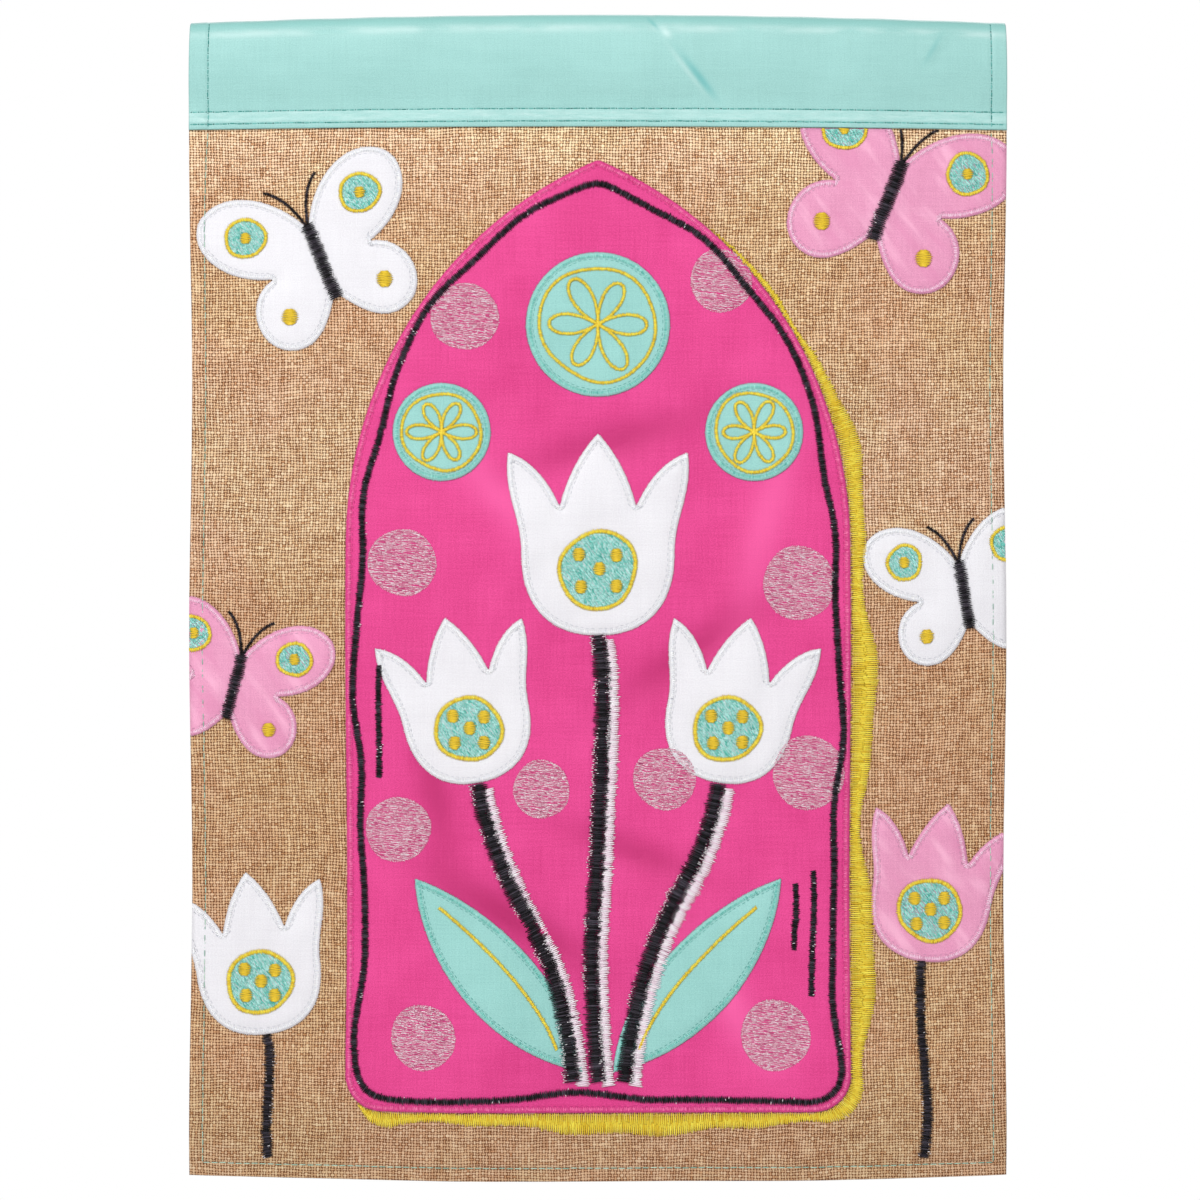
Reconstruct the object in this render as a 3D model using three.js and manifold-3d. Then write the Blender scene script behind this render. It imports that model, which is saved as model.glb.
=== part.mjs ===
// A small hanging banner of sewn cloth: a plain woven panel with turned hems, a rod sleeve across
// its top, and cloth shapes sewn on its face.
// Millimetres, +Z up. The origin is the middle of the sleeve's top fold, and the face looks along -Y.
// "across" runs to the right from the middle, "down" runs from the top fold to the bottom hem.

import * as THREE from 'three';
import { mergeVertices } from 'three/addons/utils/BufferGeometryUtils.js';
import Module from 'manifold-3d';

const wasm = await Module();
wasm.setup();

// ---- driving dimensions ----

const WIDTH = 317.5;
const HEIGHT = 455;
const HALF_WIDTH = WIDTH / 2;
const GAP = 0.3; // between touching pieces

const PANEL_THICK = 1.2;
const HEM_WIDTH = 6.6; // the panel's edge turned once to the back
const HEM_STEP = 0.6; // how sharply the turned edge ends
const PANEL_TOP = 35.5; // the panel's upper edge, tucked into the sleeve

const SLEEVE_DEPTH = 44;
const SLEEVE_THICK = 1;

const PATCH_THICK = 1; // a sewn-on cloth shape
const CELLS_ACROSS = 16;
const CELLS_DOWN = 22;

// How the hanging cloth leaves its flat cut shape.
const TOP_BOW = 3.4; // the top corners hang lower than the middle
const BOW_FADE = 60;
const HEM_LIFT = 2.6; // the bottom corners ride higher than the middle
const WAVER = 0.6; // in and out along the side edges
const WAVER_STEP = 31;
const EDGE_CURL = 1.6; // the right edge turns away from the viewer
const CURL_WIDTH = 9;

// Soft folds: the middle of each, its lean from upright, its half length and half width, and how far
// it stands to the front.
const FOLDS = [
  { across: -118, down: 300, lean: 4, length: 190, width: 34, front: -2.2 },
  { across: -52, down: 390, lean: -5, length: 170, width: 36, front: 2.4 },
  { across: 22, down: 340, lean: 3, length: 210, width: 38, front: -1.9 },
  { across: 92, down: 400, lean: -4, length: 180, width: 34, front: 2.6 },
  { across: 132, down: 432, lean: 82, length: 44, width: 15, front: 1.5 },
  { across: -130, down: 150, lean: 12, length: 90, width: 40, front: 1.2 },
  { across: 110, down: 190, lean: -9, length: 110, width: 42, front: -1.3 },
];

// The sleeve's inner face from its lower edge to its top fold, as distance from the banner's middle
// plane. Front and back are alike. The open middle is the rod pocket.
const SLEEVE_SECTION = [
  { down: 44, out: 0.9 },
  { down: 40, out: 0.9 },
  { down: 36, out: 0.9 },
  { down: 33, out: 1.4 },
  { down: 28, out: 2.7 },
  { down: 22, out: 3.8 },
  { down: 15, out: 4.3 },
  { down: 9.5, out: 4.1 },
  { down: 5.5, out: 3.3 },
  { down: 3, out: 2.2 },
  { down: 1.6, out: 1.1 },
  { down: 1, out: 0 },
];

// The big pointed arch.
const ARCH = { halfWidth: 98, spring: 205, centreOffset: 62.8, base: 428, corner: 14 };

// Half outlines, from the bottom middle to the top middle, x across and y up from the motif's middle.
const TULIP = {
  start: { x: 0, y: -34 },
  curves: [
    { ax: 19, ay: -34, bx: 28, by: -22, x: 28, y: -4 },
    { ax: 28, ay: 10, bx: 35, by: 18, x: 33, y: 33 },
    { ax: 24, ay: 30, bx: 18, by: 22, x: 14, y: 13 },
    { ax: 12, ay: 22, bx: 7, by: 33, x: 0, y: 40 },
  ],
};
const BUTTERFLY = {
  start: { x: 0, y: -14 },
  curves: [
    { ax: 5, ay: -22, bx: 12, by: -32, x: 22, y: -30 },
    { ax: 37, ay: -27, bx: 36, by: -4, x: 20, y: -1 },
    { ax: 41, ay: 5, bx: 47, by: 23, x: 38, y: 31 },
    { ax: 26, ay: 40, bx: 8, by: 30, x: 0, y: 12 },
  ],
};
const LEAF = { length: 96, inner: 12, outer: 24, tipAcross: 26 };

const WHITE = 0xf5f3f7;
const HOT_PINK = 0xe8539a;
const SOFT_PINK = 0xeda3c6;
const AQUA = 0xa6dad5;
const SACKING = 0xba9270;

// The sewn-on shapes, by what they lie on. A name starts with its motif.
const ON_PANEL = [
  { name: 'butterfly_top_left', across: -108, down: 95, turn: 22, size: 1, cloth: WHITE },
  { name: 'butterfly_top_right', across: 113, down: 71, turn: -20, size: 1.06, cloth: SOFT_PINK },
  { name: 'butterfly_left', across: -141, down: 262, turn: -14, size: 0.84, cloth: SOFT_PINK },
  { name: 'butterfly_right', across: 142, down: 226, turn: 10, size: 0.86, cloth: WHITE },
  { name: 'tulip_low_left', across: -133, down: 370, turn: 8, size: 0.86, cloth: WHITE },
  { name: 'tulip_low_right', across: 131, down: 342, turn: -10, size: 0.84, cloth: SOFT_PINK },
];
const ON_ARCH = [
  { name: 'tulip_middle', across: 0, down: 206, turn: 0, size: 1.06, cloth: WHITE },
  { name: 'tulip_left', across: -52, down: 270, turn: 12, size: 0.88, cloth: WHITE },
  { name: 'tulip_right', across: 52, down: 270, turn: -12, size: 0.88, cloth: WHITE },
  { name: 'leaf_left', across: -6, down: 412, turn: 26, size: 1, cloth: AQUA },
  { name: 'leaf_right', across: 6, down: 412, turn: -26, size: 1, cloth: AQUA },
  { name: 'roundel_top', across: 0, down: 121, turn: 0, size: 28, cloth: AQUA },
  { name: 'roundel_left', across: -61, down: 163, turn: 0, size: 19, cloth: AQUA },
  { name: 'roundel_right', across: 61, down: 163, turn: 0, size: 19, cloth: AQUA },
];

// ---- the shape in which the cloth hangs ----

function foldsAt(across, down) {
  let front = 0;
  for (const fold of FOLDS) {
    const lean = THREE.MathUtils.degToRad(fold.lean);
    const x = across - fold.across;
    const y = down - fold.down;
    const along = (x * Math.sin(lean) + y * Math.cos(lean)) / fold.length;
    const aside = (x * Math.cos(lean) - y * Math.sin(lean)) / fold.width;
    front += fold.front * Math.exp(-along * along - aside * aside);
  }
  const held = 1 - Math.exp(-Math.pow(down / SLEEVE_DEPTH, 2) / 2);
  const curl = EDGE_CURL * Math.exp((across - HALF_WIDTH) / CURL_WIDTH);
  return (front - curl) * held;
}

// A point of the hanging banner: a flat place on it, and how far to the front of its middle plane.
function hang(across, down, front) {
  const edge = across / HALF_WIDTH;
  const bow = TOP_BOW * Math.exp(-down / BOW_FADE) - HEM_LIFT * (down / HEIGHT);
  const waver = WAVER * edge * Math.sin(down / WAVER_STEP);
  return new THREE.Vector3(across + waver, -foldsAt(across, down) - front, -down - bow * edge * edge);
}

// ---- sheets ----

function evenSteps(from, to, count) {
  return Array.from({ length: count + 1 }, (_, step) => THREE.MathUtils.lerp(from, to, step / count));
}

const HEM_LINE_ACROSS = HALF_WIDTH - HEM_WIDTH;
const HEM_LINE_DOWN = HEIGHT - HEM_WIDTH;
const PATCH_TOP = SLEEVE_DEPTH + GAP;
const HEM_TOP = PATCH_TOP + HEM_STEP;
const INNER_ACROSS = HEM_LINE_ACROSS - HEM_STEP;

const COLUMNS = [
  -HALF_WIDTH,
  -HEM_LINE_ACROSS,
  ...evenSteps(-INNER_ACROSS, INNER_ACROSS, CELLS_ACROSS),
  HEM_LINE_ACROSS,
  HALF_WIDTH,
];
const PATCH_ROWS = [
  PATCH_TOP,
  ...evenSteps(HEM_TOP, HEM_LINE_DOWN - HEM_STEP, CELLS_DOWN),
  HEM_LINE_DOWN,
  HEIGHT,
];
const PANEL_ROWS = [PANEL_TOP, ...PATCH_ROWS];

// Splits the back of a sheet along the same diagonals as its front, so that sheets lie evenly.
function alignBackDiagonals(box) {
  const index = box.getIndex();
  const back = box.groups[5];
  for (let start = back.start; start < back.start + back.count; start += 6) {
    const [a, b, d, , c] = index.array.slice(start, start + 5);
    index.array.set([a, b, c, a, c, d], start);
  }
}

// A closed sheet of cells. place() turns a column, a row and a side (1 front, 0 back) into a point.
function sheet(columns, rows, place) {
  const box = new THREE.BoxGeometry(1, 1, 1, columns.length - 1, rows.length - 1, 1);
  alignBackDiagonals(box);
  box.deleteAttribute('normal');
  box.deleteAttribute('uv');
  const position = box.getAttribute('position');
  for (let i = 0; i < position.count; i += 1) {
    const column = Math.round((position.getX(i) + 0.5) * (columns.length - 1));
    const row = Math.round((0.5 - position.getY(i)) * (rows.length - 1));
    const point = place(columns[column], rows[row], position.getZ(i) + 0.5);
    position.setXYZ(i, point.x, point.y, point.z);
  }
  const closed = mergeVertices(box, 1e-4);
  closed.clearGroups();
  return closed;
}

function panelGeometry() {
  return sheet(COLUMNS, PANEL_ROWS, (across, down, side) => {
    const atEdge = Math.abs(across) >= HEM_LINE_ACROSS || down >= HEM_LINE_DOWN;
    const hem = atEdge && down >= HEM_TOP ? PANEL_THICK : 0;
    return hang(across, down, side ? PANEL_THICK / 2 : -PANEL_THICK / 2 - hem);
  });
}

// The whole face of one layer of sewn-on cloth, before it is cut to its outlines.
function layerGeometry(layer) {
  const back = PANEL_THICK / 2 + GAP + (layer - 1) * (PATCH_THICK + GAP);
  return sheet(COLUMNS, PATCH_ROWS, (across, down, side) => hang(across, down, back + side * PATCH_THICK));
}

// ---- the sleeve ----

// The sleeve's section from its front lower edge over the top fold to its back lower edge.
function sleevePath() {
  const front = SLEEVE_SECTION.map(({ down, out }) => new THREE.Vector2(out, down));
  const back = front.slice(0, -1).reverse().map(({ x, y }) => new THREE.Vector2(-x, y));
  return [...front, ...back];
}

function sleeveGeometry() {
  const inner = sleevePath();
  const outer = inner.map((point, i) => {
    const before = inner[Math.max(i - 1, 0)];
    const after = inner[Math.min(i + 1, inner.length - 1)];
    const along = after.clone().sub(before).normalize();
    return new THREE.Vector2(point.x - along.y * SLEEVE_THICK, point.y + along.x * SLEEVE_THICK);
  });
  const rows = inner.map((_, i) => inner.length - 1 - i);
  return sheet(COLUMNS, rows, (across, step, side) => {
    const point = side ? outer[step] : inner[step];
    return hang(across, point.y, point.x);
  });
}

// ---- outlines of the sewn-on shapes ----

function mirroredOutline({ start, curves }) {
  const outline = new THREE.Shape();
  outline.moveTo(start.x, start.y);
  for (const { ax, ay, bx, by, x, y } of curves) {
    outline.bezierCurveTo(ax, ay, bx, by, x, y);
  }
  for (let i = curves.length - 1; i >= 0; i -= 1) {
    const end = i > 0 ? curves[i - 1] : start;
    const { ax, ay, bx, by } = curves[i];
    outline.bezierCurveTo(-bx, by, -ax, ay, -end.x, end.y);
  }
  return outline;
}

function leafOutline({ across }) {
  const { length, inner, outer, tipAcross } = LEAF;
  const hand = Math.sign(across);
  const outline = new THREE.Shape();
  const tip = tipAcross * hand;
  outline.moveTo(0, 0);
  outline.bezierCurveTo(-inner * hand, length * 0.3, tip - inner * 2 * hand, length * 0.75, tip, length);
  outline.bezierCurveTo(tip + inner * hand, length * 0.7, outer * 1.3 * hand, length * 0.25, 0, 0);
  return outline;
}

function roundelOutline() {
  const outline = new THREE.Shape();
  outline.absarc(0, 0, 1, 0, 2 * Math.PI);
  return outline;
}

function archOutline() {
  const { halfWidth, spring, centreOffset, base, corner } = ARCH;
  const radius = halfWidth + centreOffset;
  const apexAngle = Math.acos(centreOffset / radius);
  const outline = new THREE.Shape();
  outline.moveTo(-halfWidth + corner, -base);
  outline.absarc(halfWidth - corner, corner - base, corner, -Math.PI / 2, 0);
  outline.absarc(-centreOffset, -spring, radius, 0, apexAngle);
  outline.absarc(centreOffset, -spring, radius, Math.PI - apexAngle, Math.PI);
  outline.absarc(-halfWidth + corner, corner - base, corner, Math.PI, Math.PI * 1.5);
  return outline;
}

const OUTLINES = {
  tulip: () => mirroredOutline(TULIP),
  butterfly: () => mirroredOutline(BUTTERFLY),
  leaf: leafOutline,
  roundel: roundelOutline,
};

// ---- cutting a layer to an outline ----

const CUTTER_DEPTH = 60;

// A block of an outline's shape, standing through the cloth from front to back.
function cutter(outline, steps, { across, down, turn, size }) {
  const geometry = new THREE.ExtrudeGeometry(outline, {
    depth: CUTTER_DEPTH,
    bevelEnabled: false,
    curveSegments: steps,
  });
  geometry.scale(size, size, 1);
  geometry.rotateZ(THREE.MathUtils.degToRad(turn));
  geometry.translate(across, -down, -CUTTER_DEPTH / 2);
  geometry.rotateX(Math.PI / 2);
  return geometry;
}

function toManifold(geometry) {
  const bare = geometry.clone();
  bare.deleteAttribute('normal');
  bare.deleteAttribute('uv');
  const merged = mergeVertices(bare, 1e-4);
  const vertProperties = new Float32Array(merged.getAttribute('position').array);
  const triVerts = new Uint32Array(merged.getIndex().array);
  return new wasm.Manifold(new wasm.Mesh({ numProp: 3, vertProperties, triVerts }));
}

function toGeometry(solid) {
  const { vertProperties, triVerts } = solid.getMesh();
  const geometry = new THREE.BufferGeometry();
  geometry.setAttribute('position', new THREE.BufferAttribute(vertProperties, 3));
  geometry.setIndex(new THREE.BufferAttribute(triVerts, 1));
  return geometry;
}

// ---- the banner ----

const group = new THREE.Group();

function addPiece(name, geometry, colour, roughness) {
  const material = new THREE.MeshStandardMaterial({ color: colour, roughness, metalness: 0 });
  const mesh = new THREE.Mesh(geometry, material);
  mesh.name = name;
  group.add(mesh);
}

const PLAIN_CLOTH = 0.8;
const SATIN_CLOTH = 0.6;
const COARSE_CLOTH = 0.95;
const PATCH_STEPS = { tulip: 5, butterfly: 5, leaf: 8, roundel: 20 };
const ARCH_STEPS = 10;
const ARCH_PLACE = { across: 0, down: 0, turn: 0, size: 1 };

function cutPatch(layer, outline, steps, patch) {
  return toGeometry(layer.intersect(toManifold(cutter(outline, steps, patch))));
}

addPiece('panel', panelGeometry(), SACKING, COARSE_CLOTH);
addPiece('sleeve', sleeveGeometry(), AQUA, SATIN_CLOTH);

const layers = [toManifold(layerGeometry(1)), toManifold(layerGeometry(2))];
addPiece('arch', cutPatch(layers[0], archOutline(), ARCH_STEPS, ARCH_PLACE), HOT_PINK, SATIN_CLOTH);

[ON_PANEL, ON_ARCH].forEach((patches, below) => {
  for (const patch of patches) {
    const motif = patch.name.split('_')[0];
    const outline = OUTLINES[motif](patch);
    const geometry = cutPatch(layers[below], outline, PATCH_STEPS[motif], patch);
    addPiece(patch.name, geometry, patch.cloth, PLAIN_CLOTH);
  }
});

export default group;
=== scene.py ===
import math

import bpy
import numpy as np
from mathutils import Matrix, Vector
from mathutils.geometry import delaunay_2d_cdt


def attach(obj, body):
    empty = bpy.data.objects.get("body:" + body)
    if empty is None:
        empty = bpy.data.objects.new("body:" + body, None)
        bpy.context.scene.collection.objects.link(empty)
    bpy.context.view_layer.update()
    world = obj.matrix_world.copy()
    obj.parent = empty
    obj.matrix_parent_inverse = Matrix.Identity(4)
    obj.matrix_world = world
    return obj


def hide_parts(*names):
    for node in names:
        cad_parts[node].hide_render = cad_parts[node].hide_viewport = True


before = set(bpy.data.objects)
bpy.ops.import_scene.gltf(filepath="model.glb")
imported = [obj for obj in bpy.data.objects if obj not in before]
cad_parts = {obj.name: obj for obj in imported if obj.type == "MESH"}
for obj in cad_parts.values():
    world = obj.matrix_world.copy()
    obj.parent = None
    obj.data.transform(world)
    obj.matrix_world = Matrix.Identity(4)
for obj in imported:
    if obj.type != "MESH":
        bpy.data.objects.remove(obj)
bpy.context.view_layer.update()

# A hanging banner. Sizes are millimetres until a mesh is made, which is in metres. A place on the
# cloth is given as across (right of the middle), down (from the top fold) and front (towards the
# viewer from the cloth's middle plane).

MM = 0.001
WIDTH = 317.5
HEIGHT = 455.0
HALF = WIDTH / 2
PANEL_TOP = 35.5
PANEL_FRONT = 0.6
HEM = 6.6
SLEEVE_DEPTH = 44.0
SLEEVE_CLOTH = 0.9

# ---- how the cloth hangs: the same numbers as the CAD model ----

TOP_BOW = 3.4
BOW_FADE = 60.0
HEM_LIFT = 2.6
WAVER = 0.6
WAVER_STEP = 31.0
EDGE_CURL = 1.6
CURL_WIDTH = 9.0

# across, down, lean (degrees from upright), half length, half width, height to the front
FOLDS = (
    (-118, 300, 4, 190, 34, -2.2),
    (-52, 390, -5, 170, 36, 2.4),
    (22, 340, 3, 210, 38, -1.9),
    (92, 400, -4, 180, 34, 2.6),
    (132, 432, 82, 44, 15, 1.5),
    (-130, 150, 12, 90, 40, 1.2),
    (110, 190, -9, 110, 42, -1.3),
)

HEM_STEP = 1.0
HEM_STITCH = 5.3  # from the edge, along the bottom and low on the sides
# How much farther in the side seams start, below the sleeve, and how soon they drift out.
SEAM_START = {-1: 2.2, 1: 0.8}
SEAM_DRIFT = 26.0
SEAM_DIP, SEAM_WIDTH = 0.4, 0.75  # how a hem's seam pulls the cloth in
SEAM_PUCKER, PUCKER_RATE = 0.125, 0.95  # and how much it varies along it, and how quickly

# Finer unevenness than the CAD model holds: waves across, waves down, phase, height.
RIPPLES = (
    (5.3, 2.1, 0.4, 0.16),
    (-3.1, 6.7, 1.9, 0.14),
    (9.4, -4.6, 2.7, 0.10),
    (2.2, 13.1, 4.1, 0.09),
    (14.9, 8.3, 5.2, 0.06),
    (-17.2, 11.9, 0.9, 0.05),
)


def smooth_step(x, low, high):
    t = np.clip((x - low) / (high - low), 0, 1)
    return t * t * (3 - 2 * t)


def bell(off, width):
    """1 in the middle, falling away to 0 about two widths off."""
    return np.exp(-((off / width) ** 2))


def cos_sin(degrees):
    return math.cos(math.radians(degrees)), math.sin(math.radians(degrees))


def ridges(table, across, down):
    """The height of a table of soft folds."""
    front = np.zeros(np.broadcast(across, down).shape)
    for at_across, at_down, lean, length, width, height in table:
        c, s = cos_sin(lean)
        x, y = across - at_across, down - at_down
        front += height * np.exp(-(((x * s + y * c) / length) ** 2) - ((x * c - y * s) / width) ** 2)
    return front


def ripples(across, down):
    front = 0.0
    for waves_across, waves_down, phase, height in RIPPLES:
        turn = 2 * math.pi * (waves_across * across / WIDTH + waves_down * down / HEIGHT)
        front = front + height * np.sin(turn + phase)
    return front


def seam_inset(hand, down):
    """How far in from its edge a side seam runs."""
    return HEM_STITCH + SEAM_START[hand] * np.exp(-np.maximum(down - SLEEVE_DEPTH, 0) / SEAM_DRIFT)


def hem_dip(across, down):
    """How far the hems' seams pull the cloth in."""
    low = HEIGHT - down
    found = bell(low - HEM_STITCH, SEAM_WIDTH) * (HALF - np.abs(across) > HEM_STITCH)
    for hand in (-1, 1):
        gap = HALF - hand * across - seam_inset(hand, down)
        found = np.maximum(found, bell(gap, SEAM_WIDTH) * (low > HEM_STITCH))
    pucker = SEAM_PUCKER * np.sin((across + down) * PUCKER_RATE) * found
    return (SEAM_DIP * found + pucker) * smooth_step(down, SLEEVE_DEPTH, SLEEVE_DEPTH + 1.5)


def below_sleeve(down):
    return smooth_step(down, SLEEVE_DEPTH, SLEEVE_DEPTH + 2)


def hem_step(across, down):
    """How far the turned hems stand out at the back."""
    rim = np.minimum(HALF - np.abs(across), HEIGHT - down)
    return HEM_STEP * smooth_step(rim, HEM + 0.3, HEM - 0.3) * below_sleeve(down)


def hang(across, down, front):
    """Points in metres of the hanging cloth."""
    across, down, front = np.broadcast_arrays(*(np.asarray(x, float) for x in (across, down, front)))
    edge = across / HALF
    held = 1 - np.exp(-((down / SLEEVE_DEPTH) ** 2) / 2)
    curl = EDGE_CURL * np.exp((across - HALF) / CURL_WIDTH)
    fold = (ridges(FOLDS, across, down) + ripples(across, down) - curl) * held
    bow = TOP_BOW * np.exp(-down / BOW_FADE) - HEM_LIFT * (down / HEIGHT)
    waver = WAVER * edge * np.sin(down / WAVER_STEP)
    return MM * np.stack([across + waver, -fold - front, -down - bow * edge**2], -1)


# ---- meshes ----

MAP_UNIT = 100  # millimetres to a unit of a map


def inside_out(points, triangles):
    """Whether a closed mesh's faces look inward."""
    a, b, c = (points[triangles[:, i]] for i in range(3))
    return np.einsum("ij,ij->", a, np.cross(b, c)) < 0


def add_object(name, data):
    obj = bpy.data.objects.new(name, data)
    bpy.context.scene.collection.objects.link(obj)
    return obj


def make_mesh(name, points, faces, maps, tone=None, flat_faces=None):
    """A smooth mesh object from points (n, 3), faces (m, 3 or 4), maps of (corners, 2) by name and a
    tone for each point. flat_faces marks faces that keep their edges sharp."""
    corners = faces.shape[1]
    order = np.arange(faces.size).reshape(faces.shape)
    if inside_out(points, faces[:, :3]):
        faces, order = faces[:, ::-1], order[:, ::-1]
    mesh = bpy.data.meshes.new(name)
    mesh.vertices.add(len(points))
    mesh.vertices.foreach_set("co", points.astype(np.float32).ravel())
    mesh.loops.add(faces.size)
    mesh.loops.foreach_set("vertex_index", faces.astype(np.int32).ravel())
    mesh.polygons.add(len(faces))
    mesh.polygons.foreach_set("loop_start", np.arange(0, faces.size, corners, dtype=np.int32))
    mesh.update(calc_edges=True)
    for map_name, uv in maps.items():
        layer = mesh.uv_layers.new(name=map_name)
        layer.data.foreach_set("uv", uv[order.ravel()].astype(np.float32).ravel())
    if tone is not None:
        mesh.attributes.new("tone", "FLOAT", "POINT").data.foreach_set("value", tone.astype(np.float32))
    mesh.shade_smooth()
    if flat_faces is not None:
        mesh.attributes.new("sharp_face", "BOOLEAN", "FACE").data.foreach_set("value", flat_faces)
    mesh.validate()
    return add_object(name, mesh)


def finish_piece(obj, material, slot, nodes=()):
    obj.data.materials.append(material)
    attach(obj, "root")
    if nodes:
        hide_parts(*nodes)


def grid_faces(index):
    """Quads of a grid whose vertex numbers are index (rows, columns)."""
    corners = index[:-1, :-1], index[:-1, 1:], index[1:, 1:], index[1:, :-1]
    return np.stack([corner.ravel() for corner in corners], -1)


def bake_map(flat, back):
    """Places in a unit square: the face's on its left three quarters, the back's on the rest."""
    low, high = flat.min(0), flat.max(0)
    u, v = ((flat - low) / (high - low)).T
    return np.stack([np.where(back, 0.76 + 0.23 * u, 0.005 + 0.74 * u), v], -1)


def closed_sheet(name, across, down, place):
    """A closed thin sheet over a grid. place(across, down, side) gives points, side +1 front and
    -1 back, and meets itself at the rim."""
    grid_down, grid_across = np.meshgrid(down, across, indexing="ij")
    rows, columns = grid_down.shape
    front_index = np.arange(rows * columns).reshape(rows, columns)
    back_index = front_index.copy()
    back_index[1:-1, 1:-1] = rows * columns + np.arange((rows - 2) * (columns - 2)).reshape(rows - 2, -1)
    front = place(grid_across, grid_down, 1).reshape(-1, 3)
    back = place(grid_across, grid_down, -1)[1:-1, 1:-1].reshape(-1, 3)
    front_faces, back_faces = grid_faces(front_index), grid_faces(back_index)[:, ::-1]
    own = np.stack([grid_across, grid_down], -1)
    own = np.concatenate([own.reshape(-1, 2), own[1:-1, 1:-1].reshape(-1, 2)])
    faces = np.concatenate([front_faces, back_faces])
    return make_mesh(name, np.concatenate([front, back]), faces, cloth_maps(own, faces, len(front_faces)))


def cloth_maps(own, faces, fronts):
    """The two maps of a sheet, by face corner: its own millimetres, and one to bake on."""
    flat = own[faces.ravel()]
    back = np.arange(len(flat)) >= fronts * faces.shape[1]
    return {"cloth": flat / MAP_UNIT, "OFBake": bake_map(flat, back)}


def rounding(gap, radius):
    """From 0 at a rim to 1 once past its rounded edge."""
    return np.sqrt(1 - (1 - np.clip(gap / radius, 0, 1)) ** 2)


def both_halves(side):
    """Grid lines across the banner from those of a half, measured from its edge."""
    return np.concatenate([side - HALF, (HALF - side)[-2::-1]])


def steps(*stops):
    """Grid lines from (position, spacing) stops, each spacing holding up to the next position."""
    lines = []
    for (start, spacing), (end, _) in zip(stops, stops[1:]):
        lines.extend(np.linspace(start, end, max(1, round((end - start) / spacing)), endpoint=False))
    lines.append(stops[-1][0])
    return np.array(lines)


# ---- outlines of the sewn-on shapes: the same numbers as the CAD model ----

ARCH_HALF_WIDTH = 98.0
ARCH_SPRING = 205.0
ARCH_CENTRE = 62.8
ARCH_BASE = 428.0
ARCH_CORNER = 14.0

# Half outlines from the bottom middle up: the start, then two handles and an end for each curve.
TULIP = (
    (0, -34),
    ((19, -34), (28, -22), (28, -4)),
    ((28, 10), (35, 18), (33, 33)),
    ((24, 30), (18, 22), (14, 13)),
    ((12, 22), (7, 33), (0, 40)),
)
BUTTERFLY = (
    (0, -14),
    ((5, -22), (12, -32), (22, -30)),
    ((37, -27), (36, -4), (20, -1)),
    ((41, 5), (47, 23), (38, 31)),
    ((26, 40), (8, 30), (0, 12)),
)
LEAF_LENGTH, LEAF_INNER, LEAF_OUTER, LEAF_TIP = 96, 12, 24, 26
CURVE_POINTS = 24

# name, across, down, turn, size, cloth
ON_PANEL = (
    ("butterfly_top_left", -108, 95, 22, 1, "white"),
    ("butterfly_top_right", 113, 71, -20, 1.06, "soft_pink"),
    ("butterfly_left", -141, 262, -14, 0.84, "soft_pink"),
    ("butterfly_right", 142, 226, 10, 0.86, "white"),
    ("tulip_low_left", -133, 370, 8, 0.86, "white"),
    ("tulip_low_right", 131, 342, -10, 0.84, "soft_pink"),
)
ON_ARCH = (
    ("tulip_middle", 0, 206, 0, 1.06, "white"),
    ("tulip_left", -52, 270, 12, 0.88, "white"),
    ("tulip_right", 52, 270, -12, 0.88, "white"),
    ("leaf_left", -6, 412, 26, 1, "aqua"),
    ("leaf_right", 6, 412, -26, 1, "aqua"),
    ("roundel_top", 0, 121, 0, 28, "aqua"),
    ("roundel_left", -61, 163, 0, 19, "aqua"),
    ("roundel_right", 61, 163, 0, 19, "aqua"),
)


def curve(start, handle_a, handle_b, end):
    """Points along a cubic curve, without its end."""
    t = np.linspace(0, 1, CURVE_POINTS, endpoint=False)[:, None]
    weights = (1 - t) ** 3, 3 * (1 - t) ** 2 * t, 3 * (1 - t) * t**2, t**3
    return sum(w * np.array(p, float) for w, p in zip(weights, (start, handle_a, handle_b, end)))


def curves(start, *parts):
    """Points along joined curves, with the last end."""
    found = []
    for part in parts:
        found.append(curve(start, *part))
        start = part[-1]
    return np.concatenate([*found, [start]])


def mirrored(table):
    right = curves(*table)
    return np.concatenate([right, right[-2:0:-1] * (-1, 1)])


def leaf(hand):
    tip, up = LEAF_TIP * hand, LEAF_LENGTH
    inner_side = (-LEAF_INNER * hand, up * 0.3), (tip - LEAF_INNER * 2 * hand, up * 0.75), (tip, up)
    outer_side = (tip + LEAF_INNER * hand, up * 0.7), (LEAF_OUTER * 1.3 * hand, up * 0.25), (0, 0)
    return curves((0, 0), inner_side, outer_side)[:-1]


def arc(centre, radius, start, end, count):
    """Points on an arc, y up, angles in degrees."""
    angle = np.radians(np.linspace(start, end, count))
    return np.stack([centre[0] + radius * np.cos(angle), centre[1] + radius * np.sin(angle)], -1)


def arch_outline():
    radius = ARCH_HALF_WIDTH + ARCH_CENTRE
    apex = math.degrees(math.acos(ARCH_CENTRE / radius))
    corner = arc((ARCH_HALF_WIDTH - ARCH_CORNER, ARCH_CORNER - ARCH_BASE), ARCH_CORNER, -90, 0, 12)
    right = np.concatenate([corner, arc((-ARCH_CENTRE, -ARCH_SPRING), radius, 0, apex, 60)])
    return np.concatenate([right, right[-2::-1] * (-1, 1)])


def motif_outline(motif, across):
    if motif == "tulip":
        return mirrored(TULIP)
    if motif == "butterfly":
        return mirrored(BUTTERFLY)
    if motif == "leaf":
        return leaf(math.copysign(1, across))
    return arc((0, 0), 1, 0, 360, 97)[:-1]


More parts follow.
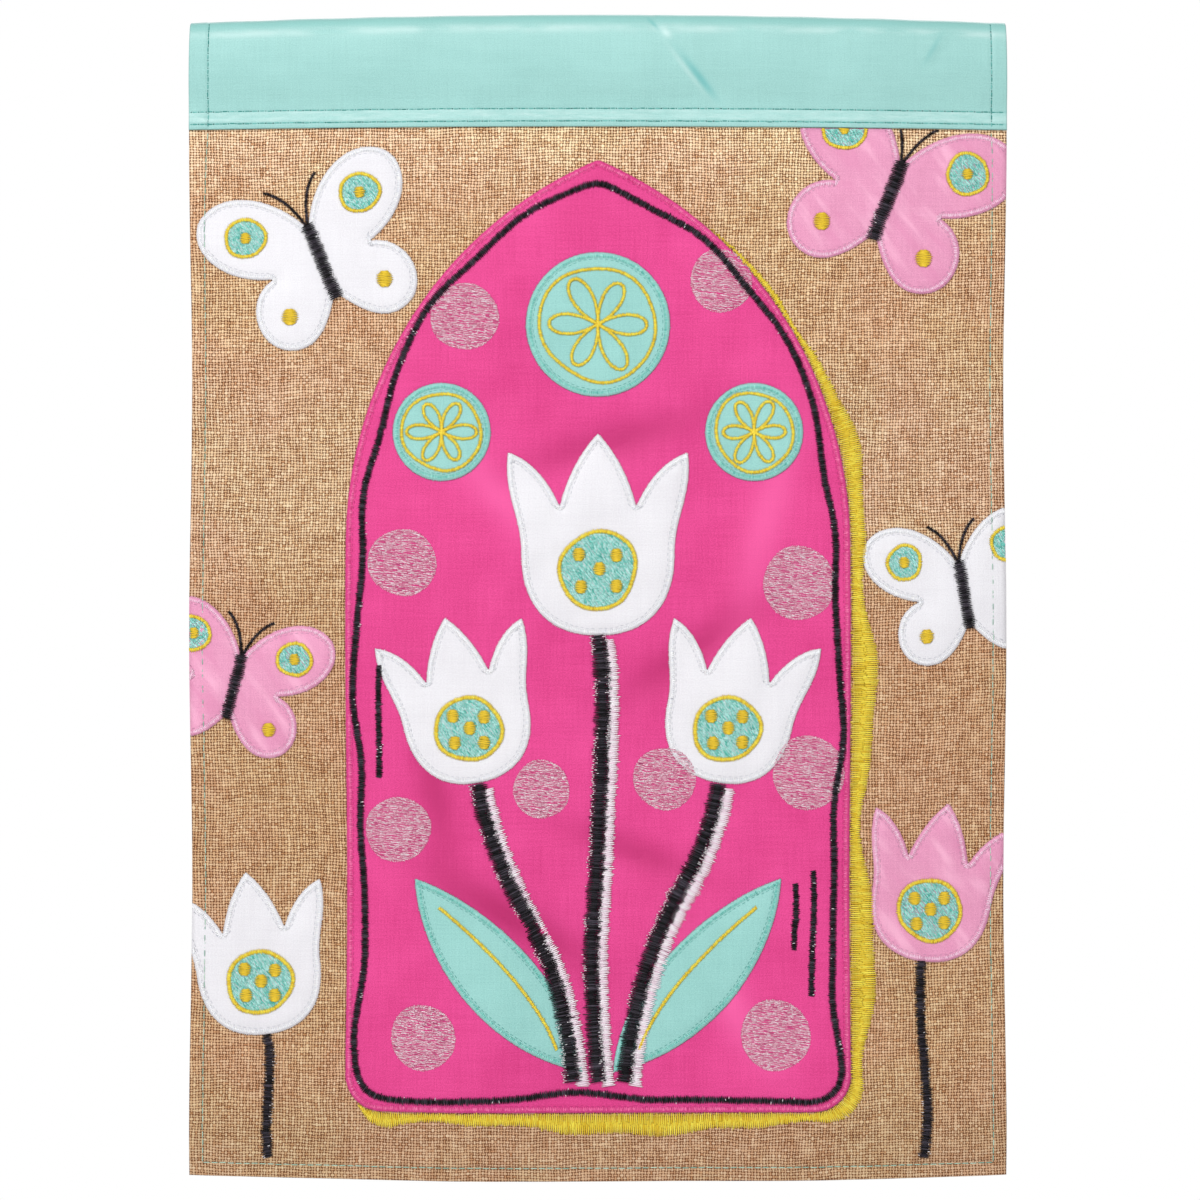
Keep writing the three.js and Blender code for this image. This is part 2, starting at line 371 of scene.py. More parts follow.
def placed(points, across, down, turn, size):
    """Points with y up, moved to their place on the cloth as (across, down)."""
    c, s = cos_sin(turn)
    x, y = np.asarray(points, float).T * size
    return np.stack([across + x * c - y * s, down - x * s - y * c], -1)


def lengths(points):
    """How far along a line its points are."""
    return np.concatenate([[0], np.cumsum(np.hypot(*np.diff(points, axis=0).T))])


def between(at, known, values):
    """Values (n, k), given at known numbers, as they are at other numbers."""
    return np.stack([np.interp(at, known, column) for column in values.T], -1)


def unit(way):
    return way / np.maximum(np.hypot(*way.T), 1e-9)[:, None]


def along(points, pitch, closed=False, phase=0.0):
    """Points spaced evenly along a line, with their unit directions."""
    points = np.asarray(points, float)
    if closed:
        points = np.concatenate([points, points[:1]])
    length = lengths(points)
    total = length[-1]
    count = max(2, round(total / pitch))
    at = (np.arange(count) + phase) * total / count

    def place(where):
        return between(where % total if closed else np.clip(where, 0, total), length, points)

    return place(at), unit(place(at + pitch) - place(at - pitch))


def averaged(points, reach, **padding):
    """Points smoothed over reach steps either way."""
    kernel = np.hanning(2 * reach + 3)[1:-1]
    kernel /= kernel.sum()
    padded = np.pad(points, ((reach, reach), (0, 0)), **padding)
    return np.stack([np.convolve(column, kernel, "valid") for column in padded.T], -1)


def softened(points, reach, closed=True):
    """A line at 0.5 mm steps with its corners rounded over reach."""
    fine, _ = along(points, 0.5, closed)
    return averaged(fine, max(1, round(reach / 0.5)), mode="wrap" if closed else "edge")


def sides(outline):
    """Its points, each with the next."""
    return zip(outline, np.roll(outline, -1, axis=0))


def clipped(outline, axis, limit, keep):
    """A polygon cut by one straight line: keep is +1 for the side above the limit."""
    kept = []
    for p, q in sides(outline):
        p_in, q_in = (p[axis] - limit) * keep >= 0, (q[axis] - limit) * keep >= 0
        if p_in:
            kept.append(p)
        if p_in != q_in:
            kept.append(p + (q - p) * (limit - p[axis]) / (q[axis] - p[axis]))
    return np.array(kept)


def inside(points, outline):
    x, y = points.T
    found = np.zeros(len(points), bool)
    for (ax, ay), (bx, by) in sides(outline):
        if ay != by:
            crosses = (ay > y) != (by > y)
            found ^= crosses & (x < (bx - ax) * (y - ay) / (by - ay) + ax)
    return found


def distance(points, outline):
    """How far points are from a closed outline."""
    best = np.full(len(points), np.inf)
    for a, b in sides(outline):
        edge = b - a
        t = np.clip(((points - a) @ edge) / max(edge @ edge, 1e-9), 0, 1)
        best = np.minimum(best, np.hypot(*(points - a - t[:, None] * edge).T))
    return best


def left_of(way):
    return np.stack([way[:, 1], -way[:, 0]], -1)


def signed_area(line):
    x, y = line.T
    return np.sum(x * np.roll(y, -1) - np.roll(x, -1) * y) / 2


def outline_way(line):
    """+1 if the left-hand side of a closed line, as along() sees it, is its outside."""
    return 1 if signed_area(line) > 0 else -1


def facing_out(line):
    """A closed line, turned so that its left-hand side is its outside."""
    return line if outline_way(line) > 0 else line[::-1]


# ---- layers of cloth ----

PATCH_CLOTH = 0.5
PATCH_GAP = 0.06
PUFF = 0.3  # how far a sewn-on shape rises just inside its edging
PUFF_START, PUFF_END = 2.2, 3.6
CROWN = 0.35  # how far it goes on rising
CROWN_REACH = 12.0
PATCH_TOP = SLEEVE_DEPTH + 0.2
EDGE_LIMIT = HALF - 0.15
WRINKLES, WRINKLE_HEIGHT = 7, 0.11
WRINKLE_START, WRINKLE_END = 1.5, 7.0  # how far in they begin and reach their height

# Soft creases of the arch's cloth.
ARCH_CREASES = (
    (-64, 250, 32, 30, 4.5, -0.55),
    (-52, 244, 38, 22, 4.0, 0.4),
    (60, 342, -28, 26, 4.5, -0.5),
    (70, 336, -24, 22, 4.0, 0.35),
    (30, 86, 52, 20, 4.0, -0.45),
    (-34, 150, 66, 18, 3.5, -0.4),
    (36, 168, -50, 16, 3.5, -0.4),
    (-24, 372, 18, 26, 4.0, -0.45),
    (28, 362, -15, 22, 3.5, 0.35),
    (-60, 412, 80, 24, 4.0, -0.4),
    (20, 420, 88, 34, 3.5, -0.4),
    (0, 256, 85, 22, 3.5, -0.35),
)
# Its broad soft folds, with painted shade in their hollows and painted highlight on their ridges.
ARCH_FOLDS = (
    (-34, 352, 60, 34, 8, -1.9),
    (36, 248, -56, 32, 7, -1.5),
    (-40, 186, 46, 30, 8, 1.3),
    (50, 384, 32, 28, 8, 1.5),
    (6, 166, -74, 38, 7, -1.3),
    (-64, 300, 10, 34, 7, -1.5),
    (66, 196, -16, 38, 8, 1.3),
    (14, 326, 70, 26, 6, -1.3),
)
FOLD_SHADE = -0.55  # how much painted shade darkens a hollow, and painted highlight lightens a ridge, for each millimetre


def ground(points):
    """The height of the panel's face."""
    return PANEL_FRONT - hem_dip(*points.T)


class Patch:
    """A sewn-on cloth shape. It has its name and motif, its cloth, its place, the shape it lies on if
    any, and its outline: whole, and cut off at the banner's sides and the sleeve."""

    def __init__(self, name, under, cloth, outline, place):
        self.name, self.under, self.cloth, self.place = name, under, cloth, place
        self.motif = name.split("_")[0]
        self.whole = placed(outline, **place)
        cut = clipped(clipped(self.whole, 0, -EDGE_LIMIT, 1), 0, EDGE_LIMIT, -1)
        self.outline = clipped(cut, 1, PATCH_TOP, 1)
        self.coarse, _ = along(self.outline, 2.0, closed=True)
        self.seed = sum(map(ord, name))

    def base(self, points):
        """The height of what it lies on."""
        return (self.under.front(points) if self.under else ground(points)) + PATCH_GAP

    def front(self, points, rim=None):
        """The height of its face at points inside it."""
        rim = distance(points, self.coarse) if rim is None else rim
        rise = PUFF * smooth_step(rim, PUFF_START, PUFF_END) + CROWN * smooth_step(rim, 0.5, CROWN_REACH)
        wrinkle = ridges(ARCH_CREASES + ARCH_FOLDS, *points.T) if self.name == "arch" else 0.0
        x, y = points.T
        draw = np.random.default_rng(self.seed)
        for _ in range(WRINKLES):
            turn, waves, phase = draw.uniform(0, math.pi), draw.uniform(0.02, 0.09), draw.uniform(0, 6.28)
            c, s = math.cos(turn), math.sin(turn)
            run, side = x * c + y * s, y * c - x * s
            swell = 0.6 + 0.4 * np.sin(0.11 * side + 2 * phase)
            wrinkle = wrinkle + WRINKLE_HEIGHT * swell * np.sin(2 * math.pi * waves * run + phase)
        wrinkle = wrinkle * smooth_step(rim, WRINKLE_START, WRINKLE_END)
        return self.base(points) + PATCH_CLOTH + rise + wrinkle


def all_patches():
    arch = Patch("arch", None, "hot_pink", arch_outline(), dict(across=0, down=0, turn=0, size=1))
    found = [arch]
    for under, table in ((None, ON_PANEL), (arch, ON_ARCH)):
        for name, across, down, turn, size, cloth in table:
            outline = motif_outline(name.split("_")[0], across)
            place = dict(across=across, down=down, turn=turn, size=size)
            found.append(Patch(name, under, cloth, outline, place))
    return found


PATCHES = all_patches()


def surface(points):
    """The height of the topmost cloth's face."""
    found = ground(points)
    for patch in PATCHES:
        low, high = patch.outline.min(0), patch.outline.max(0)
        near = np.flatnonzero(((points >= low) & (points <= high)).all(1))
        near = near[inside(points[near], patch.outline)]
        if len(near):
            found[near] = patch.front(points[near])
    return found


def reverse(points):
    """The distance of the panel's back from its middle plane."""
    return PANEL_FRONT + hem_step(*points.T)


# ---- the panel ----

EDGE_ROUND = 0.9
PANEL_CELL = 3.3
PANEL_RIM = 8.1  # how far in its finer cells reach


def panel():
    side = steps((0, 0.22), (EDGE_ROUND, 0.9), (4.3, 0.42), (PANEL_RIM, PANEL_CELL), (HALF, 0))
    down = steps((PANEL_TOP, PANEL_CELL), (HEIGHT - PANEL_RIM, 0))
    down = np.concatenate([down, HEIGHT - side[side < PANEL_RIM - 0.01][::-1]])

    def place(x, y, face):
        rim = np.minimum(HALF - np.abs(x), HEIGHT - y)
        dip = hem_dip(x, y)
        front = PANEL_FRONT - dip if face > 0 else -PANEL_FRONT - hem_step(x, y) + dip
        middle = -HEM_STEP / 2 * below_sleeve(y)
        share = rounding(np.minimum(rim, y - PANEL_TOP), EDGE_ROUND)
        return hang(x, y, middle + (front - middle) * share)

    obj = closed_sheet("panel_cloth", both_halves(side), down, place)
    return obj


# ---- the sleeve ----

# down and distance from the middle plane of its inner face, front half
SLEEVE_SECTION = (
    (44, 0.9), (40, 0.9), (36, 0.9), (33, 1.4), (28, 2.7), (22, 3.8),
    (15, 4.3), (9.5, 4.1), (5.5, 3.3), (3, 2.2), (1.6, 1.1), (1, 0),
)
SLEEVE_ROWS = (36.9, 41.8)  # the two stitched rows
ROW_STITCH, ROW_PITCH = 2.4, 2.9
ROW_DIP, ROW_WIDTH = 0.2, 0.6  # how a row pulls the cloth in
ROW_TUG, ROW_PULL, END_TUG = 0.08, 0.14, 0.1  # how uneven that is: stitches, cloth beside, ends
END_RISE, LAP_RISE, TOP_RISE, UNEVEN = 0.15, 0.22, 0.2, 0.08
SLEEVE_ROUND = 0.45

# Creases of the sleeve's face alone.
CREASES = (
    (38.5, 23.5, 39, 11, 1.5, -0.95),
    (35.5, 23.5, 39, 12, 1.4, 0.5),
    (22, 4.5, 33, 4.5, 1.3, -0.7),
    (27, 8.5, 33, 3.5, 2.4, 0.4),
    (129, 12, -30, 7, 2.0, 0.45),
    (133, 14, -30, 6, 1.6, -0.4),
    (-60, 12, 80, 40, 2.5, 0.22),
    (-118, 20, 70, 30, 5, -0.25),
    (90, 26, 60, 26, 4, 0.25),
    (-20, 27, 75, 34, 5, -0.2),
)
# Painted shade and painted highlight along the sharpest: across, down, lean, half length, half width,
# share (below 0, pale).
CREASE_SHADING = (
    (38.6, 24.0, 38, 9, 1.5, 0.8),
    (41.5, 27.5, 38, 5, 1.2, 0.4),
    (34.6, 22.4, 38, 10, 1.0, -0.35),
    (21.5, 4.2, 40, 3.2, 0.8, 0.6),
    (26.5, 8.0, 50, 2.2, 1.4, -0.7),
    (130, 12.5, -30, 6, 1.0, 0.35),
)
# painted shade in the crease valleys, and painted highlight beside them
CREASE_SHADE, CREASE_HIGHLIGHT = (104, 180, 178), (200, 228, 225)
CREASE_LEVEL = 23.6
TOP_CREASE = 38.8  # the pressed line near the top fold, by its distance round from the lower edge


def sleeve_path():
    """The sleeve's section as a smooth path: distances along it, points and directions."""
    half = np.array(SLEEVE_SECTION, float)[:, ::-1]
    loop = np.concatenate([half, half[-2::-1] * (-1, 1)])
    length = lengths(loop)
    fine = np.linspace(0, length[-1], 600)
    smooth = averaged(between(fine, length, loop), 7, mode="reflect", reflect_type="odd")
    return fine, smooth, unit(np.gradient(smooth, axis=0))


PATH, PATH_POINTS, PATH_WAYS = sleeve_path()
PATH_LENGTH = float(PATH[-1])
# Distance from the middle plane, down, and path along the front of its outer face, from the top.
OUTER = PATH_POINTS + np.stack([-PATH_WAYS[:, 1], PATH_WAYS[:, 0]], -1) * SLEEVE_CLOTH
FACE_OUT, FACE_DOWN, FACE_PATH = (
    values[PATH < PATH_LENGTH / 2][::-1] for values in (*OUTER.T, PATH)
)


def sleeve_relief(x, s, down):
    """How far seams, creases, pulls and what is turned in lift its outer face at across, path and
    down."""
    lap = np.minimum(s, PATH_LENGTH - s)
    relief = ridges(CREASES, x, down) * smooth_step(PATH_LENGTH / 2 - s, -1.0, 1.0)
    for row in SLEEVE_ROWS:
        gap = lap - (SLEEVE_DEPTH - row)
        tug = ROW_TUG * np.sin(2 * math.pi * x / ROW_PITCH + row)
        relief += (tug - ROW_DIP) * bell(gap, ROW_WIDTH)
        relief += ROW_PULL * np.sin(x * 0.55 + row) * bell(gap, 2.6)
    for hand in (-1, 1):
        end = HALF - hand * x - seam_inset(hand, SLEEVE_DEPTH)
        seam = smooth_step(PATH_LENGTH / 2 - lap, 1.0, 5.0)
        relief += (END_TUG * np.sin(s * 2.1) - ROW_DIP) * bell(end, ROW_WIDTH) * seam
        relief += END_RISE * smooth_step(-end, 0.4, 1.0)
    relief += LAP_RISE * smooth_step(lap, 0.5, 1.5) * smooth_step(-lap, -4.4, -3.2)
    broken = 0.75 + 0.25 * np.sin(x * 0.07 + 1.5 * np.sin(x * 0.023))
    relief += TOP_RISE * broken * bell(lap - TOP_CREASE, 1.6)
    return relief + UNEVEN * np.sin(x * 0.21 + 0.6 * np.sin(s * 0.17)) * np.sin(s * 0.35 + x * 0.013)


def sleeve():
    side = steps((0, 0.25), (0.75, 0.7), (4.4, 0.5), (8.4, 2.3), (HALF, 0))
    one_side = steps((0, 0.25), (1.0, 0.5), (9.0, 1.4), (PATH_LENGTH / 2, 0))
    path = np.concatenate([one_side, (PATH_LENGTH - one_side)[-2::-1]])

    def place(x, s, face):
        out, down, way_out, way_down = (np.interp(s, PATH, v) for v in (*PATH_POINTS.T, *PATH_WAYS.T))
        rim = np.minimum(np.minimum(s, PATH_LENGTH - s), HALF - np.abs(x))
        half = SLEEVE_CLOTH / 2
        lift = half + sleeve_relief(x, s, down) if face > 0 else -half
        thick = half + lift * rounding(rim, SLEEVE_ROUND)
        return hang(x, down + way_out * thick, out - way_down * thick)

    obj = closed_sheet("sleeve_cloth", both_halves(side), path, place)
    return obj


def sleeve_face(points):
    """The height of the sleeve's outer face at (across, down)."""
    x, y = points.T
    return np.interp(y, FACE_DOWN, FACE_OUT) + sleeve_relief(x, np.interp(y, FACE_DOWN, FACE_PATH), y)


# ---- sewn-on shapes ----

PATCH_CELL, ARCH_CELL = 2.6, 3.2
RIM_STEP = 1.3
RING_INSETS = (2.1, 2.8, 3.6)  # rings of points where the cloth rises from its edging
RING_ROOM, RING_SLACK = 0.8, 0.15  # kept clear inside the last, and how near a ring may come


def patch_mesh(patch):
    """A closed thin mesh: its face puffed inside the edging, its back on what it lies on."""
    rim, way = along(patch.outline, RIM_STEP, closed=True)
    inward = -left_of(way) * outline_way(rim)
    low, high = rim.min(0), rim.max(0)
    cell = ARCH_CELL if patch.name == "arch" else PATCH_CELL
    x, y = np.meshgrid(np.arange(low[0], high[0], cell), np.arange(low[1], high[1], cell))
    x[1::2] += cell / 2
    inner = np.stack([x.ravel(), y.ravel()], -1)
    inner = inner[inside(inner, rim)]
    inner = inner[distance(inner, rim) > RING_INSETS[-1] + RING_ROOM]
    for inset in RING_INSETS:
        ring_points = rim + inward * inset
        ring_points = ring_points[inside(ring_points, rim)]
        inner = np.concatenate([ring_points[distance(ring_points, rim) > inset - RING_SLACK], inner])
    around = np.arange(len(rim))
    after = (around + 1) % len(rim)
    corners = [Vector(p) for p in np.concatenate([rim, inner])]
    edges = np.stack([around, after], -1).tolist()
    flat, _, triangles, *_ = delaunay_2d_cdt(corners, edges, [], 1, 1e-4)
    flat = np.array([tuple(p) for p in flat])
    triangles = np.array(triangles)
    count = len(flat)
    gap = distance(flat, patch.coarse)
    gap[: len(rim)] = 0
    points = np.concatenate([hang(*flat.T, patch.front(flat, gap)), hang(*flat.T, patch.base(flat))])
    walls = (around, after, after + count), (around, after + count, around + count)
    walls = np.concatenate([np.stack(wall, -1) for wall in walls])
    a, b, c = (flat[triangles[:, i]] for i in range(3))
    turn = (b - a)[:, 0] * (c - a)[:, 1] - (b - a)[:, 1] * (c - a)[:, 0]
    turned = np.where(turn[:, None] > 0, triangles, triangles[:, ::-1])
    if outline_way(rim) > 0:
        walls = walls[:, ::-1]
    faces = np.concatenate([turned, turned[:, ::-1] + count, walls])
    maps = cloth_maps(np.concatenate([flat, flat]), faces, len(turned))
    obj = make_mesh(patch.name + "_cloth", points, faces, maps)
    return obj


# ---- stitches ----

THREAD = 0.22  # half the width of a thread
TIP = -0.06  # how far the ends of a stitch sink into the cloth
TOP, FOOT = 0.36, -0.12  # its section's top and foot, in half widths
SPREAD = 0.28  # how much the tones of stitches differ
NEAR_EDGE = 0.2
UNDER_EDGE = HEM + 0.4

# A stitch's eight corners: a tip, two rings of three, a tip. Its faces, with those beneath last.
ASIDE = np.array([0, -1, 0, 1, -1, 0, 1, 0])
UP = np.array([0, FOOT, TOP, FOOT, FOOT, TOP, FOOT, 0])
RAISED = np.array([0, 1, 1, 1, 1, 1, 1, 0])
STITCH_FACES = np.array(
    [(0, 1, 2), (0, 2, 3), (1, 4, 5), (1, 5, 2), (2, 5, 6), (2, 6, 3), (7, 5, 4), (7, 6, 5)]
    + [(0, 3, 1), (3, 6, 4), (3, 4, 1), (7, 4, 6)]
)
BENEATH = np.arange(12) > 7

draw = np.random.default_rng(7)


class Stitches:
    """Stitches gathered for one mesh: their ends on the flat cloth, and the heights there."""

    def __init__(self):
        self.rows = []

    def add(self, start, end, lift, over=0.0, half=THREAD, tone=None, on=surface, side=1, rim=NEAR_EDGE):
        """Straight stitches from start (n, 2) to end (n, 2), rising by lift above over and what on()
        gives. side is -1 for the back, and rim is how far they keep from the banner's edges."""
        top = 0 if on is sleeve_face else PATCH_TOP
        middle = (start + end) / 2
        keep = (np.abs(middle[:, 0]) < HALF - rim) & (middle[:, 1] > top) & (middle[:, 1] < HEIGHT - rim)
        count = int(keep.sum())
        if not count:
            return
        low, high = (rim - HALF, top), (HALF - rim, HEIGHT - rim)
        start, end = (np.clip(p[keep], low, high) for p in (start, end))
        if tone is None:
            tone = draw.normal(0.5, SPREAD, len(keep))
        lift, over, half = (np.broadcast_to(value, keep.shape)[keep] for value in (lift, over, half))
        tone = np.broadcast_to(tone, keep.shape)[keep]
        heights = on(start) + over, on(end) + over
        self.rows.append(np.column_stack([start, end, *heights, lift, half, tone, np.full(count, side)]))

    def mesh(self, name):
        rows = np.concatenate(self.rows)
        start, end = rows[:, None, 0:2], rows[:, None, 2:4]
        low, high, lift, half, tone, side = rows[:, 4:, None].transpose(1, 0, 2)
        way = end - start
        length = np.maximum(np.hypot(way[..., 0], way[..., 1]), 1e-6)
        normal = np.stack([-way[..., 1], way[..., 0]], -1) / length[..., None]
        reach = np.clip(0.4 / length + 0.08, 0.14, 0.38)
        share = np.hstack([0 * reach, *[reach] * 3, *[1 - reach] * 3, 1 + 0 * reach])
        flat = start + way * share[..., None] + normal * (ASIDE * half)[..., None]
        front = low + (high - low) * share + np.where(RAISED, lift, TIP) + UP * half
        points = hang(flat[..., 0], flat[..., 1], front * side).reshape(-1, 3)
        faces = (np.arange(len(rows))[:, None, None] * 8 + STITCH_FACES).reshape(-1, 3)
        flipped = np.repeat(rows[:, -1] < 0, len(STITCH_FACES))
        faces[flipped] = faces[flipped][:, ::-1]
        own = np.stack([(share * length / MAP_UNIT).ravel(), np.tile(ASIDE / 2 + 0.5, len(rows))], -1)
        tones = np.repeat(tone[:, 0], 8)
        beneath = np.tile(BENEATH, len(rows))
        return make_mesh(name, points, faces, {"thread": own[faces.ravel()]}, tones, beneath)


# name, darkest and palest colours as seen, slot
THREADS = {
    "black": ((1, 0, 4), (96, 88, 102), "black_thread"),
    "white": ((236, 238, 245), (255, 255, 255), "white_thread"),
    "hot_pink": ((220, 48, 128), (255, 130, 186), "hot_pink_thread"),
    "soft_pink": ((236, 168, 202), (255, 220, 238), "soft_pink_thread"),
    "pale_pink": ((222, 100, 150), (255, 240, 246), "pale_pink_thread"),
    "yellow": ((231, 190, 27), (253, 237, 86), "yellow_thread"),
    "aqua": ((80, 200, 184), (210, 255, 250), "aqua_thread"),
    "aqua_edge": ((98, 192, 180), (166, 230, 220), "aqua_thread"),
    "shade": ((240, 208, 226), (255, 252, 255), "white_thread"),
}
threads = {name: Stitches() for name in THREADS}
hem_thread, sleeve_thread = Stitches(), Stitches()
under = Stitches()  # what shows of the embroidery at the back
UNDER = dict(half=0.4, on=reverse, side=-1, rim=UNDER_EDGE)

FILL_LIFT = 0.18
LAP = 0.3  # how far the ends of a fill's stitches pass each other
SLANT = 0.4  # how far satin stitches lean, first one way and then the other
SATIN_STEP = 0.2  # how finely a satin line is followed
OUTER_SHARE = 0.65  # how much the longer side of a bend counts for how close its stitches are


def satin(stitches, line, inner, outer, ragged, lift, pitch=0.36, closed=False, splits=1, **keys):
    """A column of side-by-side stitches along a line, from inner to outer of its left-hand side, as
    close as its longer side needs. ragged is how uneven their ends are, and splits cuts each into
    shorter ones. Returns their ends."""
    points, way = along(line, SATIN_STEP, closed, 0.5)
    normal = left_of(way)
    spans = [b(points, normal) if callable(b) else np.full(len(points), b) for b in (inner, outer)]
    wide = spans[1] - spans[0]
    edges = [points + normal * span[:, None] for span in spans]
    moves = [np.hypot(*(np.roll(edge, -1, 0) - edge).T) for edge in edges]
    swept = (1 - OUTER_SHARE) * np.minimum(*moves) + OUTER_SHARE * np.maximum(*moves)
    if not closed:
        swept[-1] = 0
    swept = np.concatenate([[0], np.cumsum(swept)])
    count = max(2, round(swept[-1] / pitch))
    at = np.interp((np.arange(count) + 0.5) * swept[-1] / count, swept, np.arange(len(swept)))
    number = np.arange(len(swept))
    looped = [np.concatenate([values, values[:1]]) for values in (*edges, way, wide[:, None])]
    start, end, way, wide = (between(at, number, values) for values in looped)
    out = (end - start) / np.maximum(wide, 1e-6)
    lean = way * SLANT * np.where(np.arange(count) % 2, 0.5, -0.5)[:, None]
    start = start + out * draw.normal(0, ragged, (count, 1)) - lean
    end = end + out * draw.normal(0, ragged, (count, 1)) + lean
    keep = wide[:, 0] > 0.5
    start, end = start[keep], end[keep]
    lifts = (lift * draw.uniform(0.8, 1.2, count))[keep]
    under.add(start[::4], end[::4], 0.22, **UNDER)
    cuts = [0 * lifts]
    for k in range(1, splits):
        cuts.append(np.clip(k / splits + draw.normal(0, 0.11, len(start)), 0.08, 0.92))
    cuts.append(0 * lifts + 1)
    lap = 1.5 * LAP / wide[keep, 0]
    for here, there in zip(cuts, cuts[1:]):
        a = np.maximum(np.minimum(here, there) - lap, 0)[:, None]
        b = np.minimum(np.maximum(here, there) + lap, 1)[:, None]
        stitches.add(start + (end - start) * a, start + (end - start) * b, lifts, **keys)
    return start, end


def stroke(stitches, line, width, **keys):
    """A satin line about a middle line."""
    return satin(stitches, line, -width / 2, width / 2, **keys)


def ticks(ends, share, over):
    """Specks of the pale thread beneath, pulled up in clusters at the ends of stitches."""
    for tip, other in (ends, ends[::-1]):
        cluster = 0.5 + 0.5 * np.sin(tip @ (0.31, 0.17) + 3 * np.sin(tip @ (0.043, -0.061)))
        chosen = draw.random(len(tip)) < share * cluster**2
        tip, other = tip[chosen], other[chosen]
        way = unit(other - tip)
        length = draw.uniform(0.7, 1.8, (len(tip), 1))
        begin = tip + way * draw.uniform(-0.45, 0.5, (len(tip), 1))
        threads["shade"].add(begin, begin + way * length, 0.12, over, half=0.13, tone=1.0)


def fill(stitches, outline, turn, length, loose, pitch=0.45, **keys):
    """Rows of short stitches across a closed outline, loose being how far they stray from a row."""
    matrix = np.array([[math.cos(turn), -math.sin(turn)], [math.sin(turn), math.cos(turn)]])
    turned = outline @ matrix
    after = np.roll(turned, -1, 0)
    starts, ends = [], []
    for row in np.arange(turned[:, 1].min() + pitch / 2, turned[:, 1].max(), pitch):
        crosses = (turned[:, 1] > row) != (after[:, 1] > row)
        a, b = turned[crosses], after[crosses]
        met = np.sort(a[:, 0] + (b - a)[:, 0] * (row - a[:, 1]) / (b - a)[:, 1])
        for left, right in zip(met[::2], met[1::2]):
            cuts = np.arange(left + draw.uniform(0.2, 1) * length, right, length)
            cuts = np.sort(cuts + draw.normal(0, 0.2 * length, len(cuts)))
            cuts = np.concatenate([[left], cuts[(cuts > left + 0.5) & (cuts < right - 0.5)], [right]])
            tilt = row + draw.normal(0, loose, len(cuts))
            starts.append(np.stack([cuts[:-1] - LAP, tilt[:-1]], -1))
            ends.append(np.stack([cuts[1:] + LAP, tilt[1:]], -1))
    starts, ends = np.concatenate(starts) @ matrix.T, np.concatenate(ends) @ matrix.T
    under.add(starts[::5], ends[::5], 0.15, **UNDER)
    stitches.add(starts, ends, FILL_LIFT * draw.uniform(0.5, 1.5, len(starts)), **keys)


def running(stitches, line, length, gap, lift, **keys):
    """A row of plain running stitches."""
    points, way = along(line, length + gap, False, 0.5)
    half_stitch = way * length / 2
    shake = left_of(way) * draw.normal(0, 0.06, (len(points), 1))
    stitches.add(points - half_stitch + shake, points + half_stitch + shake, lift, **keys)


def turns(count):
    return np.linspace(0, 2 * math.pi, count + 1)[:-1]


def blob(across, down, radius, rough=0.035):
    """A circle as a hand cuts it."""
    turn = turns(72)
    seed = across * 0.37 + down * 0.23
    uneven = np.sin(2 * turn + seed) + 0.7 * np.sin(3 * turn + 2 * seed) + 0.4 * np.sin(5 * turn + seed)
    reach = 1 + rough * uneven
    return np.stack([np.cos(turn), -np.sin(turn)], -1) * (radius * reach)[:, None] + (across, down)


# ---- the embroidered design ----

EDGE_OUT, EDGE_IN = 0.45, 2.25  # satin edging, either side of an outline
EDGE_SOFTNESS, TACK_SOFTNESS = 1.2, 4.0  # how far their corners are rounded
TACK, TACK_TONE = 2.55, -0.45  # the running line just inside the edging
SPOT_TONE = 0.22

SEWING_THREAD = 0.2
HEM_LENGTH, HOLE = 3.1, 0.35  # a hem's stitch, and half of a needle hole in the sleeve, drawn as a darker stitch for the hole's painted shade

INK_LINE = 3.1  # the black line inside the arch's edge
INK_INSET, INK_SOFTNESS, INK_WANDER = 5.2, 16.0, 1.6
ACCENT_LINE, STEM_LINE, LOW_STEM_LINE, PALE_LINE = 2.9, 6.5, 4.2, 5.6
RING_LINE, PETAL_LINE, VEIN_LINE, FEELER_LINE = 1.9, 1.8, 1.9, 1.6
BAND_ACROSS, BAND_DOWN = 7.6, 6.4  # how far the yellow band shows to the right and below

DOT_THREAD = 0.18
# across, down, radius
DOTS = (
    (-52, 118, 13), (48, 104, 12), (-76, 214, 13), (78, 222, 14), (-78, 318, 12.5), (82, 296, 14),
    (-22, 302, 11), (26, 298, 12), (-68, 399, 12.5), (69, 398, 13.5),
)

SHADE_ASIDE = (3.9, 1.8)  # from a stem to the pale stroke behind it
# Middle lines of the thick stems: start, then a curve down to the arch's foot.
STEMS = (
    ((0, 242), ((5, 290), (-6, 350), (0, 417))),
    ((-47, 300), ((-40, 345), (-15, 352), (-10, 417))),
    ((47, 300), ((40, 345), (15, 352), (10, 417))),
)
LOW_STEMS = (
    ((-129, 399), ((-125, 415), (-131, 432), (-127, 448))),
    ((126, 370), ((122, 395), (131, 420), (126, 448))),
)
ACCENTS = (
    ((84, 334), ((84.8, 350), (83.2, 366), (83, 384))),
    ((77, 339), ((78, 350), (76, 358), (76.5, 366))),
    ((-85, 254), ((-86, 270), (-84.4, 284), (-85.5, 299))),
)


def wobble(line, size, seed, closed=False):
    """A line with slow unevenness, as a hand guides it."""
    points, way = along(line, 1.0, closed)
    at = np.arange(len(points)) * 2 * math.pi / len(points)
    waves = 0.0
    for k, (every, height) in enumerate(((170, 1.0), (71, 0.55), (43, 0.2))):
        rate = len(points) / every
        waves = waves + height * np.sin(at * (round(rate) if closed else rate) + (k + 1) * seed)
    return points + left_of(way) * (size * waves)[:, None]


